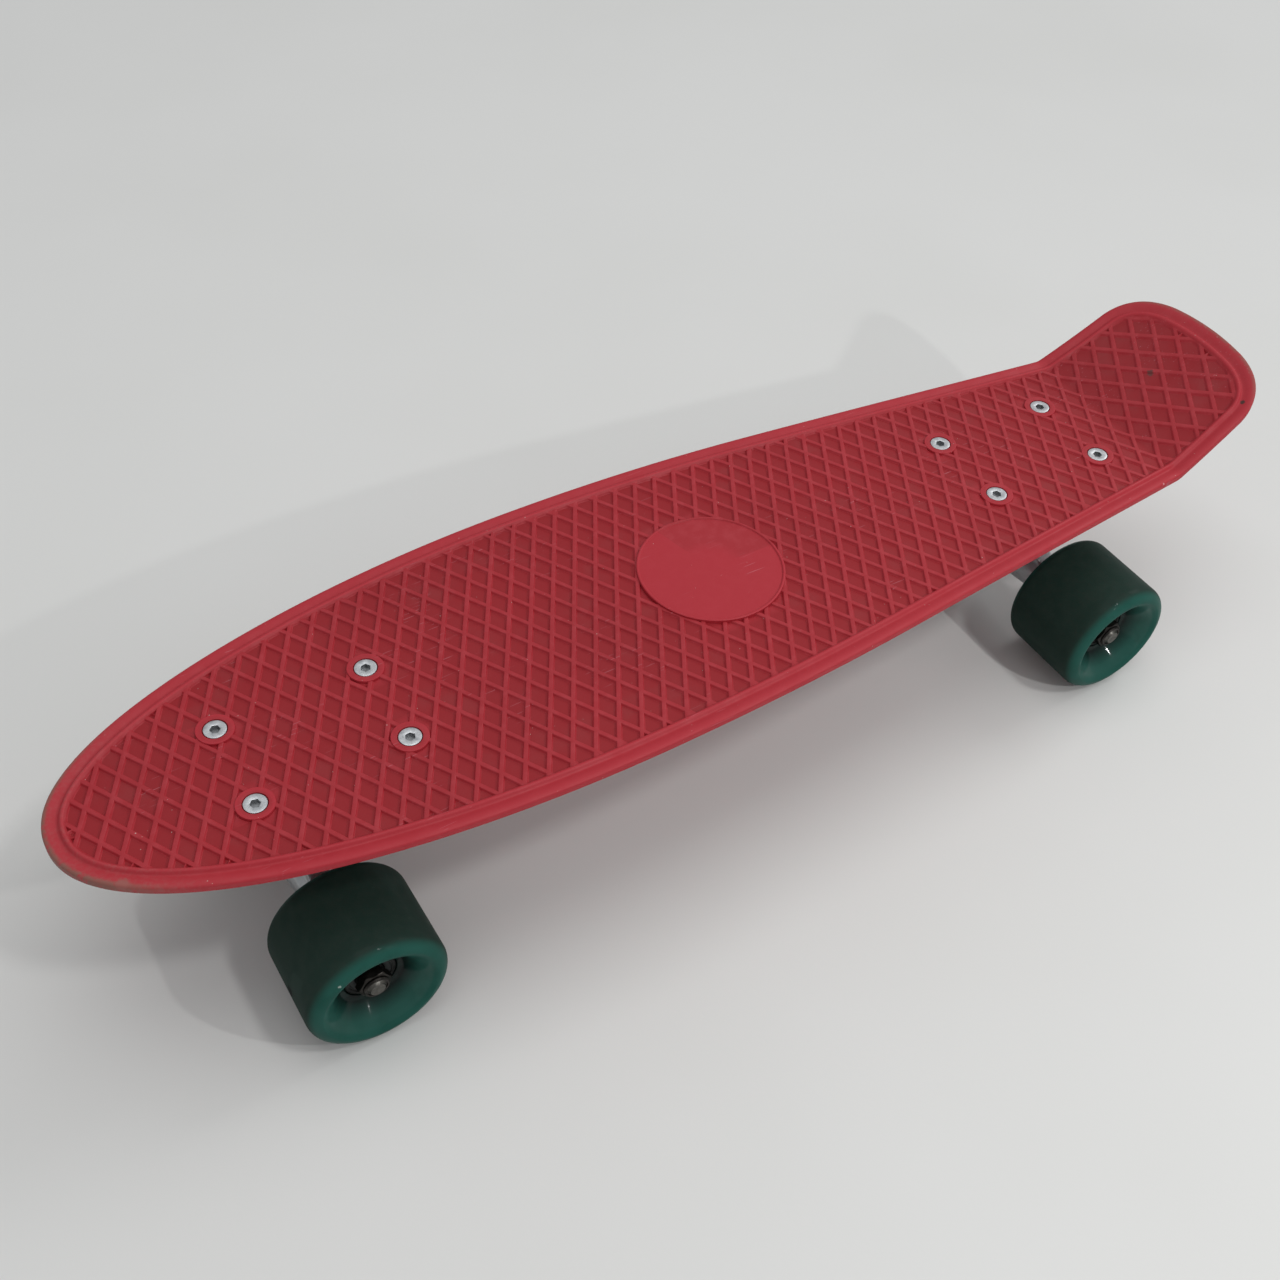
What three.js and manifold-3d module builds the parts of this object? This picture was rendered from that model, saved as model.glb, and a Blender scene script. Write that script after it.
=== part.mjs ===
// Cruiser skateboard: a moulded deck with a kicktail, two sprung trucks and four wheels.
// Millimetres, +Z up, nose towards -X, standing on its wheels.
import * as THREE from 'three';
import { mergeVertices } from 'three/addons/utils/BufferGeometryUtils.js';
import Module from 'manifold-3d';

const wasm = await Module();
wasm.setup();

const degrees = Math.PI / 180;

// Fits that all pieces share
const seatGap = 0.3; // between two pieces that touch
const overrun = 6; // how far a cutting tool passes the face it cuts

// Smoothness, in sides of a full turn
const wheelSides = 32;
const roundSides = 18;
const smallSides = 12;
const cornerSides = 3; // of a quarter turn

// Stance
const wheelbase = 361; // between the centres of the two bolt patterns
const wheelRadius = 30;
const padHeight = 85.5; // deck's truck pads above the floor
const deckHeight = 97.8; // tread panel above the floor, level with the truck screws

// Deck outline in plan
const deckHalfWidth = 74.7;
const widestAhead = 62; // widest line, ahead of the wheelbase centre
const noseReach = 222.8; // widest line to the nose tip
const waistReach = 298; // widest line to the kick line
const waistHalfWidth = 51;
const kickLength = 60.6;
const tailHalfWidth = 48;
const noseSteps = 15;
const curveSteps = 6;
const nosePower = 2.15; // fullness of the nose against an ellipse
const flankShare = 0.43; // share of the waist reach that curves before it runs straight
const cornerStartShare = 0.62;
const cornerShares = [[0.77, 0.98], [0.923, 0.84], [0.974, 0.46]];

// Deck section: heights are from the tread panel
const camber = 2.8;
const kickAngle = 25.2 * degrees;
const kickBend = 4; // length that the sheet bends over at the kick line
const kickSweepRadius = 380; // past the bend the kicktail sweeps up a little more
const kickSweepSteps = 3;
const rimDrop = 0.3;
const lipThickness = 3.4;
const rimWidth = 6; // from the lip's edge to the ridge round the panel
const ridgeWidth = 2.8;
const ridgeHeight = 0.8;
const skinThickness = 4.5;
const skirtInset = 7; // skirt wall in from the lip's edge
const skirtDepth = 10.5;
const skirtWall = 3;
const ribThickness = 2.4;
const ribPitch = 42;
const ribShort = 1.6; // ribs end this far above the skirt's lower edge
const spineOffset = 20;
const bendSteps = 10;

// Tread relief: ribs on two sets of slanted lines that cross in a row along the board, and sunk cells between them
const reliefDepth = 1;
const treadRibTop = 1.35;
const treadRibFoot = 2.75;
const crossingPitchLong = 10.41; // between crossings along the board
const crossingPitchWide = 17.97; // between crossings across it
const crossingAhead = 64.11; // a crossing on the centre line, ahead of the wheelbase centre
const treadRibStep = 2; // the solid has every second rib, which keeps it light

// Deck fittings
const medallionRadius = 32.3;
const medallionRim = 1.3;
const medallionRise = 0.3;
const medallionRimHeight = 0.6;
const medallionAft = 4; // behind the wheelbase centre
const padEndMargin = 6; // pad past the truck's baseplate
const padSideMargin = 5;
const padCorner = 10;
const bossRadius = 7.6;
const bossRise = 0.3;

// Truck screws, in two rows of two a truck
const screwSpacingLong = 63.5;
const screwSpacingWide = 41.3;
const screwRadius = 2.4;
const screwHole = 2.8;
const screwHeadRadius = 4.65;
const screwHeadHeight = 2.6;
const screwHeadLand = 0.5;
const screwSink = 0.2; // head below its boss
const countersinkGap = 0.4;
const socketAcross = 3.2;
const socketDepth = 2.2;
const screwNutAcross = 9.5;
const screwNutHeight = 4.8;
const screwNutCollar = 1.2;
const screwEnd = 1.2; // thread past its nut

// Truck baseplate
const plateEndMargin = 8.25; // plate past the centres of its screws
const plateSideMargin = 7.35;
const plateThickness = 7;
const plateCorner = 9;
const plateBevel = 1;

// Truck side view: distances outward from the bolt pattern's centre, and down from the pad
const pivotOut = 26;
const pivotDown = 14;
const ringOut = -14;
const ringDown = 37;
const axleOut = 13.2;
const kingpinTilt = 22 * degrees;

// Pivot
const pivotRadius = 5;
const pivotNeck = 12; // from the pivot ball to the hanger's body
const cupRadius = 8;
const cupMouth = 4.5; // cup's mouth ahead of the ball
const cupFloor = 6; // cup's end behind the ball
const cupBossWall = 3;
const cupBossFloor = 2.5;

// Kingpin stack
const kingpinRadius = 4.75;
const kingpinHole = 5.3;
const kingpinHeadAcross = 14.3;
const kingpinHeadHeight = 5.5;
const headPocketGap = 0.8;
const ringRadius = 17;
const ringThickness = 8;
const ringHole = 8;
const seatRadius = 12.4;
const seatDepth = 1.6;
const bushingRadius = 11.6;
const bushingTip = 9.4;
const boardBushing = 14.3;
const roadBushing = 10.4;
const bushingChamfer = 1.5;
const washerThickness = 1.5;
const washerLip = 1;
const washerWall = 1;
const bossWallAtWasher = 1.2;
const kingpinNutAcross = 14.3;
const kingpinNutHeight = 8;
const nutChamfer = 1.2;
const kingpinEnd = 1.8; // thread past its nut

// Hanger
const hangerHalfWidth = 43.8;
const armRootRadius = 11;
const armEndRadius = 8;
const armCollar = 6;
const webThickness = 18;
const gussetReach = 34;
const gussetThickness = 10;
const heelShare = 0.8; // web's lowest point under the axle, in arm radii

// Axle and wheel
const axleRadius = 4;
const axleHalfLength = 76.2;
const axleChamfer = 0.8;
const wheelWidth = 47;
const lipRadius = 6;
const dishRadius = 24;
const dishFloorRadius = 14;
const dishShoulderRadius = 19;
const dishShoulderDepth = 4.3; // below the wheel's face
const bearingRadius = 11;
const bearingWidth = 7;
const bearingBore = 6.5;
const coreRadius = 6;
const bearingSpacing = 10; // between the two bearings of a wheel
const coreHole = 8.6;
const speedWasher = 0.8;
const axleNutAcross = 12.7;
const axleNutHeight = 5.3;
const lipSteps = 3;

// Finishes
const finishes = {
  deck: { color: 0x9c3038, roughness: 0.55, metalness: 0 },
  wheel: { color: 0x1d4a42, roughness: 0.4, metalness: 0 },
  truck: { color: 0xa7a9ab, roughness: 0.45, metalness: 0.9 },
  steel: { color: 0xc6c8ca, roughness: 0.3, metalness: 1 },
  dark: { color: 0x2a2a2c, roughness: 0.5, metalness: 0.4 },
  bushing: { color: 0x26272a, roughness: 0.6, metalness: 0 },
};

// Turns a closed geometry into a solid that can be joined and cut
function solid(geometry) {
  const bare = geometry.clone();
  bare.deleteAttribute('normal');
  bare.deleteAttribute('uv');
  const merged = mergeVertices(bare);
  const index = Array.from(merged.index.array);
  const kept = [];
  for (let i = 0; i < index.length; i += 3) {
    const [a, b, c] = index.slice(i, i + 3);
    if (a !== b && b !== c && c !== a) kept.push(a, b, c);
  }
  const vertProperties = new Float32Array(merged.attributes.position.array);
  return new wasm.Manifold(new wasm.Mesh({ numProp: 3, vertProperties, triVerts: new Uint32Array(kept) }));
}

// Turns a solid back into a geometry
function geometryOf(body) {
  const mesh = body.getMesh();
  const geometry = new THREE.BufferGeometry();
  geometry.setAttribute('position', new THREE.BufferAttribute(Float32Array.from(mesh.vertProperties), 3));
  geometry.setIndex(Array.from(mesh.triVerts));
  geometry.computeVertexNormals();
  return geometry;
}

function join(bodies) {
  return bodies.reduce((sum, body) => sum.add(body));
}

function cut(body, tools) {
  return tools.reduce((rest, tool) => rest.subtract(tool), body);
}

// A shape turned about an axis: profile points are [radius, height along the axis]
function turned(profile, sides) {
  const points = profile.map(([radius, height]) => new THREE.Vector2(radius, height));
  const geometry = new THREE.LatheGeometry(points, sides);
  geometry.rotateX(Math.PI / 2);
  return geometry;
}

function rod(radius, low, high, sides) {
  return turned([[0, low], [radius, low], [radius, high], [0, high]], sides);
}

function tube(inner, outer, low, high, sides) {
  return turned([[inner, low], [outer, low], [outer, high], [inner, high], [inner, low]], sides);
}

function hexagon(across, low, high) {
  return rod(across / Math.sqrt(3), low, high, 6);
}

// A closed outline of [x, y] points pushed up along Z
function slab(points, low, high) {
  const shape = new THREE.Shape(points.map(([x, y]) => new THREE.Vector2(x, y)));
  const geometry = new THREE.ExtrudeGeometry(shape, { depth: high - low, bevelEnabled: false });
  geometry.translate(0, 0, low);
  return geometry;
}

// Points a geometry made about Z along a direction, from a place
function aimed(geometry, place, direction) {
  const turn = new THREE.Quaternion().setFromUnitVectors(new THREE.Vector3(0, 0, 1), direction);
  geometry.applyQuaternion(turn);
  geometry.translate(place.x, place.y, place.z);
  return geometry;
}

function roundedRectangle(length, width, corner) {
  const x = length / 2;
  const y = width / 2;
  const shape = new THREE.Shape();
  shape.moveTo(-x + corner, -y);
  shape.lineTo(x - corner, -y);
  shape.absarc(x - corner, -y + corner, corner, -Math.PI / 2, 0, false);
  shape.lineTo(x, y - corner);
  shape.absarc(x - corner, y - corner, corner, 0, Math.PI / 2, false);
  shape.lineTo(-x + corner, y);
  shape.absarc(-x + corner, y - corner, corner, Math.PI / 2, Math.PI, false);
  shape.lineTo(-x, -y + corner);
  shape.absarc(-x + corner, -y + corner, corner, Math.PI, Math.PI * 1.5, false);
  return shape;
}

function piece(name, body, finish) {
  const material = new THREE.MeshStandardMaterial(finishes[finish]);
  const geometry = body instanceof THREE.BufferGeometry ? body : geometryOf(body);
  const mesh = new THREE.Mesh(geometry, material);
  mesh.name = name;
  return mesh;
}

// Line across the board where the kicktail starts
const kickX = waistReach - widestAhead;

// Upper half of the deck's outline, from the nose tip to the middle of the tail
function halfOutline() {
  const widestX = -widestAhead;
  const flankX = widestX + waistReach * flankShare;
  const middleX = (widestX + flankX) / 2;
  const slope = (deckHalfWidth - waistHalfWidth) / (kickX - middleX);
  const point = (x, y) => new THREE.Vector2(x, y);
  const points = [];
  for (let step = 0; step < noseSteps; step += 1) {
    const along = Math.cos((step / noseSteps) * (Math.PI / 2));
    const across = (1 - along ** 2) ** (1 / nosePower);
    points.push(point(widestX - noseReach * along, deckHalfWidth * across));
  }
  const flankEnd = point(flankX, deckHalfWidth - slope * (flankX - middleX));
  const flankStart = point(widestX, deckHalfWidth);
  const flank = new THREE.QuadraticBezierCurve(flankStart, point(middleX, deckHalfWidth), flankEnd);
  points.push(...flank.getPoints(curveSteps), point(kickX, waistHalfWidth));
  const [first, second, third] = cornerShares.map(
    ([along, across]) => point(kickX + kickLength * along, tailHalfWidth * across),
  );
  const start = point(kickX + kickLength * cornerStartShare, tailHalfWidth);
  const corner = new THREE.CubicBezierCurve(start, first, second, third);
  const tailEnd = point(kickX + kickLength, 0);
  const bow = new THREE.QuadraticBezierCurve(third, point(tailEnd.x, third.y / 2), tailEnd);
  points.push(...corner.getPoints(curveSteps), ...bow.getPoints(curveSteps / 2).slice(1));
  return points;
}

// Whole outline, drawn in from the edge by a distance
function deckOutline(inset) {
  const upper = halfOutline();
  const lower = upper.slice(1, -1).reverse().map((point) => new THREE.Vector2(point.x, -point.y));
  const ring = [...upper, ...lower];
  const count = ring.length;
  return ring.map((point, place) => {
    const before = ring[(place + count - 1) % count];
    const after = ring[(place + 1) % count];
    const heading = after.clone().sub(before).normalize();
    return [point.x + heading.y * inset, point.y - heading.x * inset];
  });
}

// Height of the cambered sheet over the level of the truck screws
function camberAt(x) {
  return camber * Math.cos((Math.PI * x) / wheelbase);
}

// Height of the tread panel all along the board, kicktail included
function sheetAt(x) {
  const past = x - kickX;
  if (past <= 0) return camberAt(x);
  const bent = Math.min(past, kickBend);
  const straight = Math.tan(kickAngle) * (bent ** 2 / (kickBend * 2) + past - bent);
  return camberAt(kickX) + straight + past ** 2 / (kickSweepRadius * 2);
}

// Lines across the board where the sheet of the kicktail changes its slope
function bendLines() {
  const lines = [kickX, kickX + kickBend / 2, kickX + kickBend];
  const swept = kickLength - kickBend;
  for (let step = 1; step < kickSweepSteps; step += 1) {
    lines.push(kickX + kickBend + (swept * step) / kickSweepSteps);
  }
  return lines;
}

// A layer of the sheet between two heights, as wide as the given outline
function layer(low, high, inset) {
  const noseX = -widestAhead - noseReach - overrun;
  const tailX = kickX + kickLength + overrun;
  const places = [];
  for (let step = 0; step <= bendSteps; step += 1) {
    places.push(noseX + ((kickX - noseX) * step) / bendSteps);
  }
  places.push(...bendLines().slice(1), tailX);
  const upper = places.map((x) => [x, sheetAt(x) + high]);
  const lower = places.map((x) => [x, sheetAt(x) + low]).reverse();
  const band = slab([...upper, ...lower], -deckHalfWidth - overrun, deckHalfWidth + overrun);
  band.rotateX(Math.PI / 2);
  const tall = deckHeight;
  return solid(band).intersect(solid(slab(deckOutline(inset), -tall, tall)));
}

// Ribs under the sheet: two spines along it and cross ribs at one pitch
function deckRibs() {
  const bar = (length, width, x, y) => {
    const box = new THREE.BoxGeometry(length, width, deckHeight);
    box.translate(x, y, 0);
    return solid(box);
  };
  const reach = (noseReach + waistReach + kickLength) * 2;
  const bars = [-1, 1].map((side) => bar(reach, ribThickness, 0, side * spineOffset));
  for (let x = kickX - ribPitch / 2; x > -widestAhead - noseReach; x -= ribPitch) {
    bars.push(bar(ribThickness, deckHalfWidth * 2, x, 0));
  }
  bars.push(bar(ribThickness, deckHalfWidth * 2, kickX + ribPitch / 2, 0));
  return join(bars).intersect(layer(ribShort - skirtDepth, -skinThickness / 2, skirtInset + skirtWall / 2));
}

// Lifts a flat body to the sheet, cut first at the lines where the sheet bends up
function bentToSheet(body) {
  const bands = [];
  let rest = body;
  for (const bend of bendLines()) {
    const [beyond, before] = rest.splitByPlane([1, 0, 0], bend);
    bands.push(before);
    rest = beyond;
  }
  return join([...bands, rest].map((band) => band.warp((point) => {
    point[2] += sheetAt(point[0]);
  })));
}

// One rib of the tread, along Y, its top at height zero; its foot goes on down past the cells' floor
function treadRib(halfLength) {
  const top = treadRibTop / 2;
  const foot = treadRibFoot / 2;
  const root = foot * 2 - top;
  const section = [[-root, -reliefDepth * 2], [root, -reliefDepth * 2], [top, 0], [-top, 0]];
  return solid(slab(section, -halfLength, halfLength).rotateX(Math.PI / 2));
}

// What the relief takes out of the panel: all above the cells' floor inside the ridge, but for the ribs
function treadRelief() {
  const lean = Math.atan2(crossingPitchLong, crossingPitchWide);
  const halfLength = (deckHalfWidth + overrun) / Math.cos(lean);
  const rib = treadRib(halfLength);
  const pitch = crossingPitchLong * treadRibStep;
  const reach = halfLength * Math.sin(lean);
  const ribs = [];
  const before = Math.ceil((noseReach + widestAhead + reach - crossingAhead) / pitch);
  for (let x = -crossingAhead - before * pitch; x < kickX + kickLength + reach; x += pitch) {
    for (const turn of [-lean, lean]) {
      ribs.push(rib.rotate([0, 0, turn / degrees]).translate([x, 0, 0]));
    }
  }
  const inside = solid(slab(deckOutline(rimWidth + ridgeWidth), -reliefDepth, ridgeHeight + overrun));
  return bentToSheet(cut(inside, [join(ribs)]));
}

// The moulded sheet, with the tops of its tread ribs at height zero
function deckSheet() {
  const lipLow = -rimDrop - lipThickness;
  const lip = layer(lipLow, -rimDrop, 0);
  const panel = layer(lipLow, ridgeHeight, rimWidth);
  const skirt = layer(-skirtDepth, -skinThickness / 2, skirtInset);
  const hollow = layer(-skirtDepth - overrun, -skinThickness, skirtInset + skirtWall);
  return cut(join([lip, panel, skirt]), [treadRelief(), hollow]).add(deckRibs());
}

// Baseplate and pad in plan, about the screw pattern
const plateLength = screwSpacingLong + plateEndMargin * 2;
const plateWidth = screwSpacingWide + plateSideMargin * 2;
const padLength = plateLength + padEndMargin * 2;
const padWidth = plateWidth + padSideMargin * 2;

// Places of a truck's four screws on the deck
function screwPlaces(side) {
  const places = [];
  for (const [row, along] of [['outer', 1], ['inner', -1]]) {
    for (const [hand, across] of [['left', -1], ['right', 1]]) {
      const x = side * (wheelbase / 2 + (along * screwSpacingLong) / 2);
      places.push({ name: `${row}_${hand}`, x, y: (across * screwSpacingWide) / 2 });
    }
  }
  return places;
}

// Height of the flat boss that a screw's head sinks into
function bossTop(x) {
  return deckHeight + camberAt(x) + bossRise;
}

function deck() {
  const sheet = deckSheet().translate(0, 0, deckHeight);
  const additions = [];
  const cuts = [];
  for (const side of [-1, 1]) {
    const pad = new THREE.ExtrudeGeometry(roundedRectangle(padLength, padWidth, padCorner), {
      depth: deckHeight - padHeight - skinThickness / 2 - camberAt(wheelbase / 2),
      bevelEnabled: false,
      curveSegments: cornerSides,
    });
    pad.translate((side * wheelbase) / 2, 0, padHeight);
    additions.push(solid(pad));
    for (const place of screwPlaces(side)) {
      const top = bossTop(place.x);
      const boss = rod(bossRadius, top - bossRise - skinThickness / 2, top, smallSides);
      additions.push(solid(boss).translate(place.x, place.y, 0));
      cuts.push(screwCut(top).translate(place.x, place.y, 0));
    }
  }
  additions.push(medallion());
  return cut(join([sheet, ...additions]), cuts);
}

// Hole and countersink for one screw
function screwCut(top) {
  const headRadius = screwHeadRadius + countersinkGap;
  const land = top - screwSink - screwHeadLand - seatGap;
  const taperEnd = land - (screwHeadHeight - screwHeadLand);
  return solid(turned([
    [0, padHeight - overrun],
    [screwHole, padHeight - overrun],
    [screwHole, taperEnd],
    [headRadius, land],
    [headRadius, top + overrun],
    [0, top + overrun],
  ], smallSides));
}

// Flat round place at the middle of the deck, with a thin raised edge
function medallion() {
  const level = deckHeight + camber;
  const root = level - skinThickness / 2;
  const face = level + medallionRise;
  const inner = medallionRadius - medallionRim;
  const disc = rod(medallionRadius, root, face, wheelSides);
  const edge = tube(inner, medallionRadius, root, face + medallionRimHeight, wheelSides);
  return join([solid(disc), solid(edge)]).translate(medallionAft, 0, 0);
}

// Countersunk screw with a hex socket
function deckScrew(top) {
  const face = top - screwSink;
  const end = padHeight - plateThickness - seatGap - screwNutHeight - screwNutCollar - screwEnd;
  const body = turned([
    [0, end],
    [screwRadius, end],
    [screwRadius, face - screwHeadHeight],
    [screwHeadRadius, face - screwHeadLand],
    [screwHeadRadius, face],
    [0, face],
  ], smallSides);
  return cut(solid(body), [solid(hexagon(socketAcross, face - socketDepth, face + overrun))]);
}

// Hex lock nut with a round collar, from its seat downwards
function lockNut(across, height, collar, bore) {
  const hex = solid(hexagon(across, -height, 0));
  const ring = solid(rod(across / 2 - nutChamfer / 2, -height - collar, -height / 2, smallSides));
  return cut(hex.add(ring), [solid(rod(bore, -height - collar - overrun, overrun, smallSides))]);
}

// The truck's own frame: +X outward along the board, +Z up, origin on the deck's pad
const pivotPlace = new THREE.Vector3(pivotOut, 0, -pivotDown);
const ringPlace = new THREE.Vector3(ringOut, 0, -ringDown);
const axlePlace = new THREE.Vector3(axleOut, 0, wheelRadius - padHeight);
const steerAxis = pivotPlace.clone().sub(ringPlace).normalize();
const kingpinAxis = new THREE.Vector3(-Math.sin(kingpinTilt), 0, -Math.cos(kingpinTilt));
const acrossAxis = new THREE.Vector3(0, 1, 0);

// Stations along the kingpin, from the ring's middle
const seatAt = ringThickness / 2 - seatDepth;
const bushingAt = seatAt + seatGap;
const boardWasherAt = bushingAt + boardBushing + seatGap;
const bossAt = boardWasherAt + washerThickness + seatGap;
const roadWasherAt = bushingAt + roadBushing + seatGap;
const kingpinNutAt = roadWasherAt + washerThickness + seatGap;
const kingpinEndAt = kingpinNutAt + kingpinNutHeight + kingpinEnd;
const headCorner = kingpinHeadAcross / Math.sqrt(3);
const headTopAt = (ringDown - seatGap * 2 - headCorner * Math.sin(kingpinTilt)) / Math.cos(kingpinTilt);
const headSeatAt = headTopAt - kingpinHeadHeight;

// Stations along the axle, from the board's centre line
const coreAt = hangerHalfWidth + seatGap;
const wheelAt = coreAt + speedWasher + bearingWidth + bearingSpacing / 2;
const coreHalf = wheelAt - coreAt;
const axleNutAt = wheelAt + coreHalf + seatGap;

function aboutKingpin(geometry) {
  return solid(aimed(geometry, ringPlace, kingpinAxis));
}

function aboutPivot(geometry) {
  return solid(aimed(geometry, pivotPlace, steerAxis));
}

function aboutAxle(geometry) {
  return solid(aimed(geometry, axlePlace, acrossAxis));
}

function baseplate() {
  const bossReach = ringDown + ringRadius;
  const bossRadiusAtWasher = bushingRadius + seatGap + washerWall + bossWallAtWasher;
  const cupBossRadius = cupRadius + seatGap + cupBossWall;
  const plate = new THREE.ExtrudeGeometry(
    roundedRectangle(plateLength - plateBevel * 2, plateWidth - plateBevel * 2, plateCorner - plateBevel),
    {
      depth: plateThickness - seatGap - plateBevel * 2,
      bevelThickness: plateBevel,
      bevelSize: plateBevel,
      bevelSegments: 1,
      curveSegments: cornerSides,
    },
  );
  plate.translate(0, 0, plateBevel - plateThickness);
  const kingpinBoss = aboutKingpin(rod(bossRadiusAtWasher, -bossReach, -bossAt, roundSides));
  const cupBoss = aboutPivot(rod(cupBossRadius, -cupMouth, cupFloor + seatGap + cupBossFloor, roundSides));
  const above = new THREE.BoxGeometry(plateLength * 2, plateWidth * 2, bossReach);
  above.translate(0, 0, bossReach / 2 - seatGap);
  const cuts = [
    solid(above),
    aboutKingpin(rod(kingpinHole, -bossReach, bossReach, smallSides)),
    aboutKingpin(rod(headCorner + headPocketGap, -bossReach * 2, -headSeatAt + seatGap, roundSides)),
    aboutPivot(rod(cupRadius + seatGap, -cupMouth - overrun, cupFloor + seatGap, roundSides)),
  ];
  for (const x of [-screwSpacingLong / 2, screwSpacingLong / 2]) {
    for (const y of [-screwSpacingWide / 2, screwSpacingWide / 2]) {
      cuts.push(solid(rod(screwHole, -plateThickness - overrun, overrun, smallSides)).translate(x, y, 0));
    }
  }
  return cut(join([solid(plate), kingpinBoss, cupBoss]), cuts);
}

// Urethane cup that the hanger's pivot turns in
function pivotCup() {
  const socket = pivotRadius + seatGap;
  const profile = [[cupRadius, -cupMouth], [cupRadius, cupFloor], [0, cupFloor], [0, socket]];
  for (let step = 1; step <= lipSteps; step += 1) {
    const turn = (step / lipSteps) * (Math.PI / 2);
    profile.push([socket * Math.sin(turn), socket * Math.cos(turn)]);
  }
  profile.push([socket, -cupMouth], [cupRadius, -cupMouth]);
  return aboutPivot(turned(profile, roundSides));
}

// Point of the hanger's side view, from the ring's middle: across the kingpin, then along it
function hangerPoint(across, along) {
  return [
    ringPlace.x + across * Math.cos(kingpinTilt) - along * Math.sin(kingpinTilt),
    ringPlace.z - across * Math.sin(kingpinTilt) - along * Math.cos(kingpinTilt),
  ];
}

// Web of the hanger in side view, from ring to pivot neck to axle
function hangerWeb() {
  const root = pivotPlace.clone().addScaledVector(steerAxis, -pivotNeck);
  const side = new THREE.Vector3(-steerAxis.z, 0, steerAxis.x).multiplyScalar(pivotRadius);
  const ringStart = ringRadius - ringThickness / 2;
  const outline = [
    hangerPoint(ringStart, -ringThickness / 2),
    [root.x + side.x, root.z + side.z],
    [root.x - side.x, root.z - side.z],
    [axlePlace.x + armRootRadius, axlePlace.z + armRootRadius / 2],
    [axlePlace.x + armRootRadius / 2, axlePlace.z - armRootRadius * heelShare],
    [axlePlace.x - armRootRadius / 2, axlePlace.z - armRootRadius * heelShare],
    hangerPoint(ringStart, ringThickness / 2),
  ];
  const web = slab(outline, -webThickness / 2, webThickness / 2);
  web.rotateX(Math.PI / 2);
  return solid(web);
}

// Flat gussets that run from the web out along the arms
function hangerGusset() {
  const low = axlePlace.z - armEndRadius / 2;
  const high = axlePlace.z + armEndRadius;
  const outline = [
    [-gussetReach, low],
    [gussetReach, low],
    [gussetReach, high - armEndRadius / 2],
    [webThickness / 2, high + armRootRadius],
    [-webThickness / 2, high + armRootRadius],
    [-gussetReach, high - armEndRadius / 2],
  ];
  const gusset = slab(outline, axlePlace.x - gussetThickness / 2, axlePlace.x + gussetThickness / 2);
  gusset.rotateX(Math.PI / 2);
  gusset.rotateZ(Math.PI / 2);
  return solid(gusset);
}

function hanger() {
  const arms = aboutAxle(turned([
    [0, -hangerHalfWidth],
    [armEndRadius, -hangerHalfWidth],
    [armEndRadius, armCollar - hangerHalfWidth],
    [armRootRadius, -webThickness / 2],
    [armRootRadius, webThickness / 2],
    [armEndRadius, hangerHalfWidth - armCollar],
    [armEndRadius, hangerHalfWidth],
    [0, hangerHalfWidth],
  ], roundSides));
  const neckStart = -pivotNeck - pivotRadius / 2;
  const neck = [[0, neckStart], [pivotRadius, neckStart]];
  for (let step = lipSteps; step >= 0; step -= 1) {
    const turn = (step / lipSteps) * (Math.PI / 2);
    neck.push([pivotRadius * Math.sin(turn), pivotRadius * Math.cos(turn)]);
  }
  const half = ringThickness / 2;
  const body = join([
    aboutKingpin(rod(ringRadius, -half, half, roundSides)),
    aboutPivot(turned(neck, roundSides)),
    arms,
    hangerWeb(),
    hangerGusset(),
  ]);
  return cut(body, [
    aboutKingpin(rod(ringHole, -ringRadius, ringRadius, roundSides)),
    aboutKingpin(rod(seatRadius, seatAt, half + overrun, roundSides)),
    aboutKingpin(rod(seatRadius, -half - overrun, -seatAt, roundSides)),
    aboutAxle(rod(axleRadius + seatGap, -axleHalfLength, axleHalfLength, smallSides)),
  ]);
}

function kingpin() {
  const head = aboutKingpin(hexagon(kingpinHeadAcross, -headTopAt, -headSeatAt));
  const shaft = aboutKingpin(rod(kingpinRadius, -headTopAt, kingpinEndAt, smallSides));
  return join([head, shaft]);
}

function boardBushingBody() {
  const low = -bushingAt - boardBushing;
  const high = -bushingAt;
  return aboutKingpin(turned([
    [kingpinHole, low],
    [bushingRadius - bushingChamfer, low],
    [bushingRadius, low + bushingChamfer],
    [bushingRadius, high - bushingChamfer],
    [bushingRadius - bushingChamfer, high],
    [kingpinHole, high],
    [kingpinHole, low],
  ], roundSides));
}

function roadBushingBody() {
  const high = bushingAt + roadBushing;
  return aboutKingpin(turned([
    [kingpinHole, bushingAt],
    [bushingRadius, bushingAt],
    [bushingRadius, bushingAt + bushingChamfer],
    [bushingTip, high],
    [kingpinHole, high],
    [kingpinHole, bushingAt],
  ], roundSides));
}

// Cup washer: a disc whose lip turns over the end of its bushing
function cupWasher(at, radius, towards) {
  const inner = radius + seatGap;
  const back = at + towards * washerThickness;
  const profile = [
    [kingpinHole, at],
    [inner, at],
    [inner, at - towards * washerLip],
    [inner + washerWall, at - towards * washerLip],
    [inner + washerWall, back],
    [kingpinHole, back],
    [kingpinHole, at],
  ];
  return aboutKingpin(turned(towards < 0 ? profile.reverse() : profile, roundSides));
}

function kingpinNut() {
  const hexHeight = kingpinNutHeight - nutChamfer;
  const geometry = geometryOf(lockNut(kingpinNutAcross, hexHeight, nutChamfer, kingpinRadius + seatGap));
  geometry.rotateX(Math.PI);
  geometry.translate(0, 0, kingpinNutAt);
  return aboutKingpin(geometry);
}

function axle() {
  return aboutAxle(turned([
    [0, -axleHalfLength],
    [axleRadius - axleChamfer, -axleHalfLength],
    [axleRadius, axleChamfer - axleHalfLength],
    [axleRadius, axleHalfLength - axleChamfer],
    [axleRadius - axleChamfer, axleHalfLength],
    [0, axleHalfLength],
  ], smallSides));
}

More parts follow.
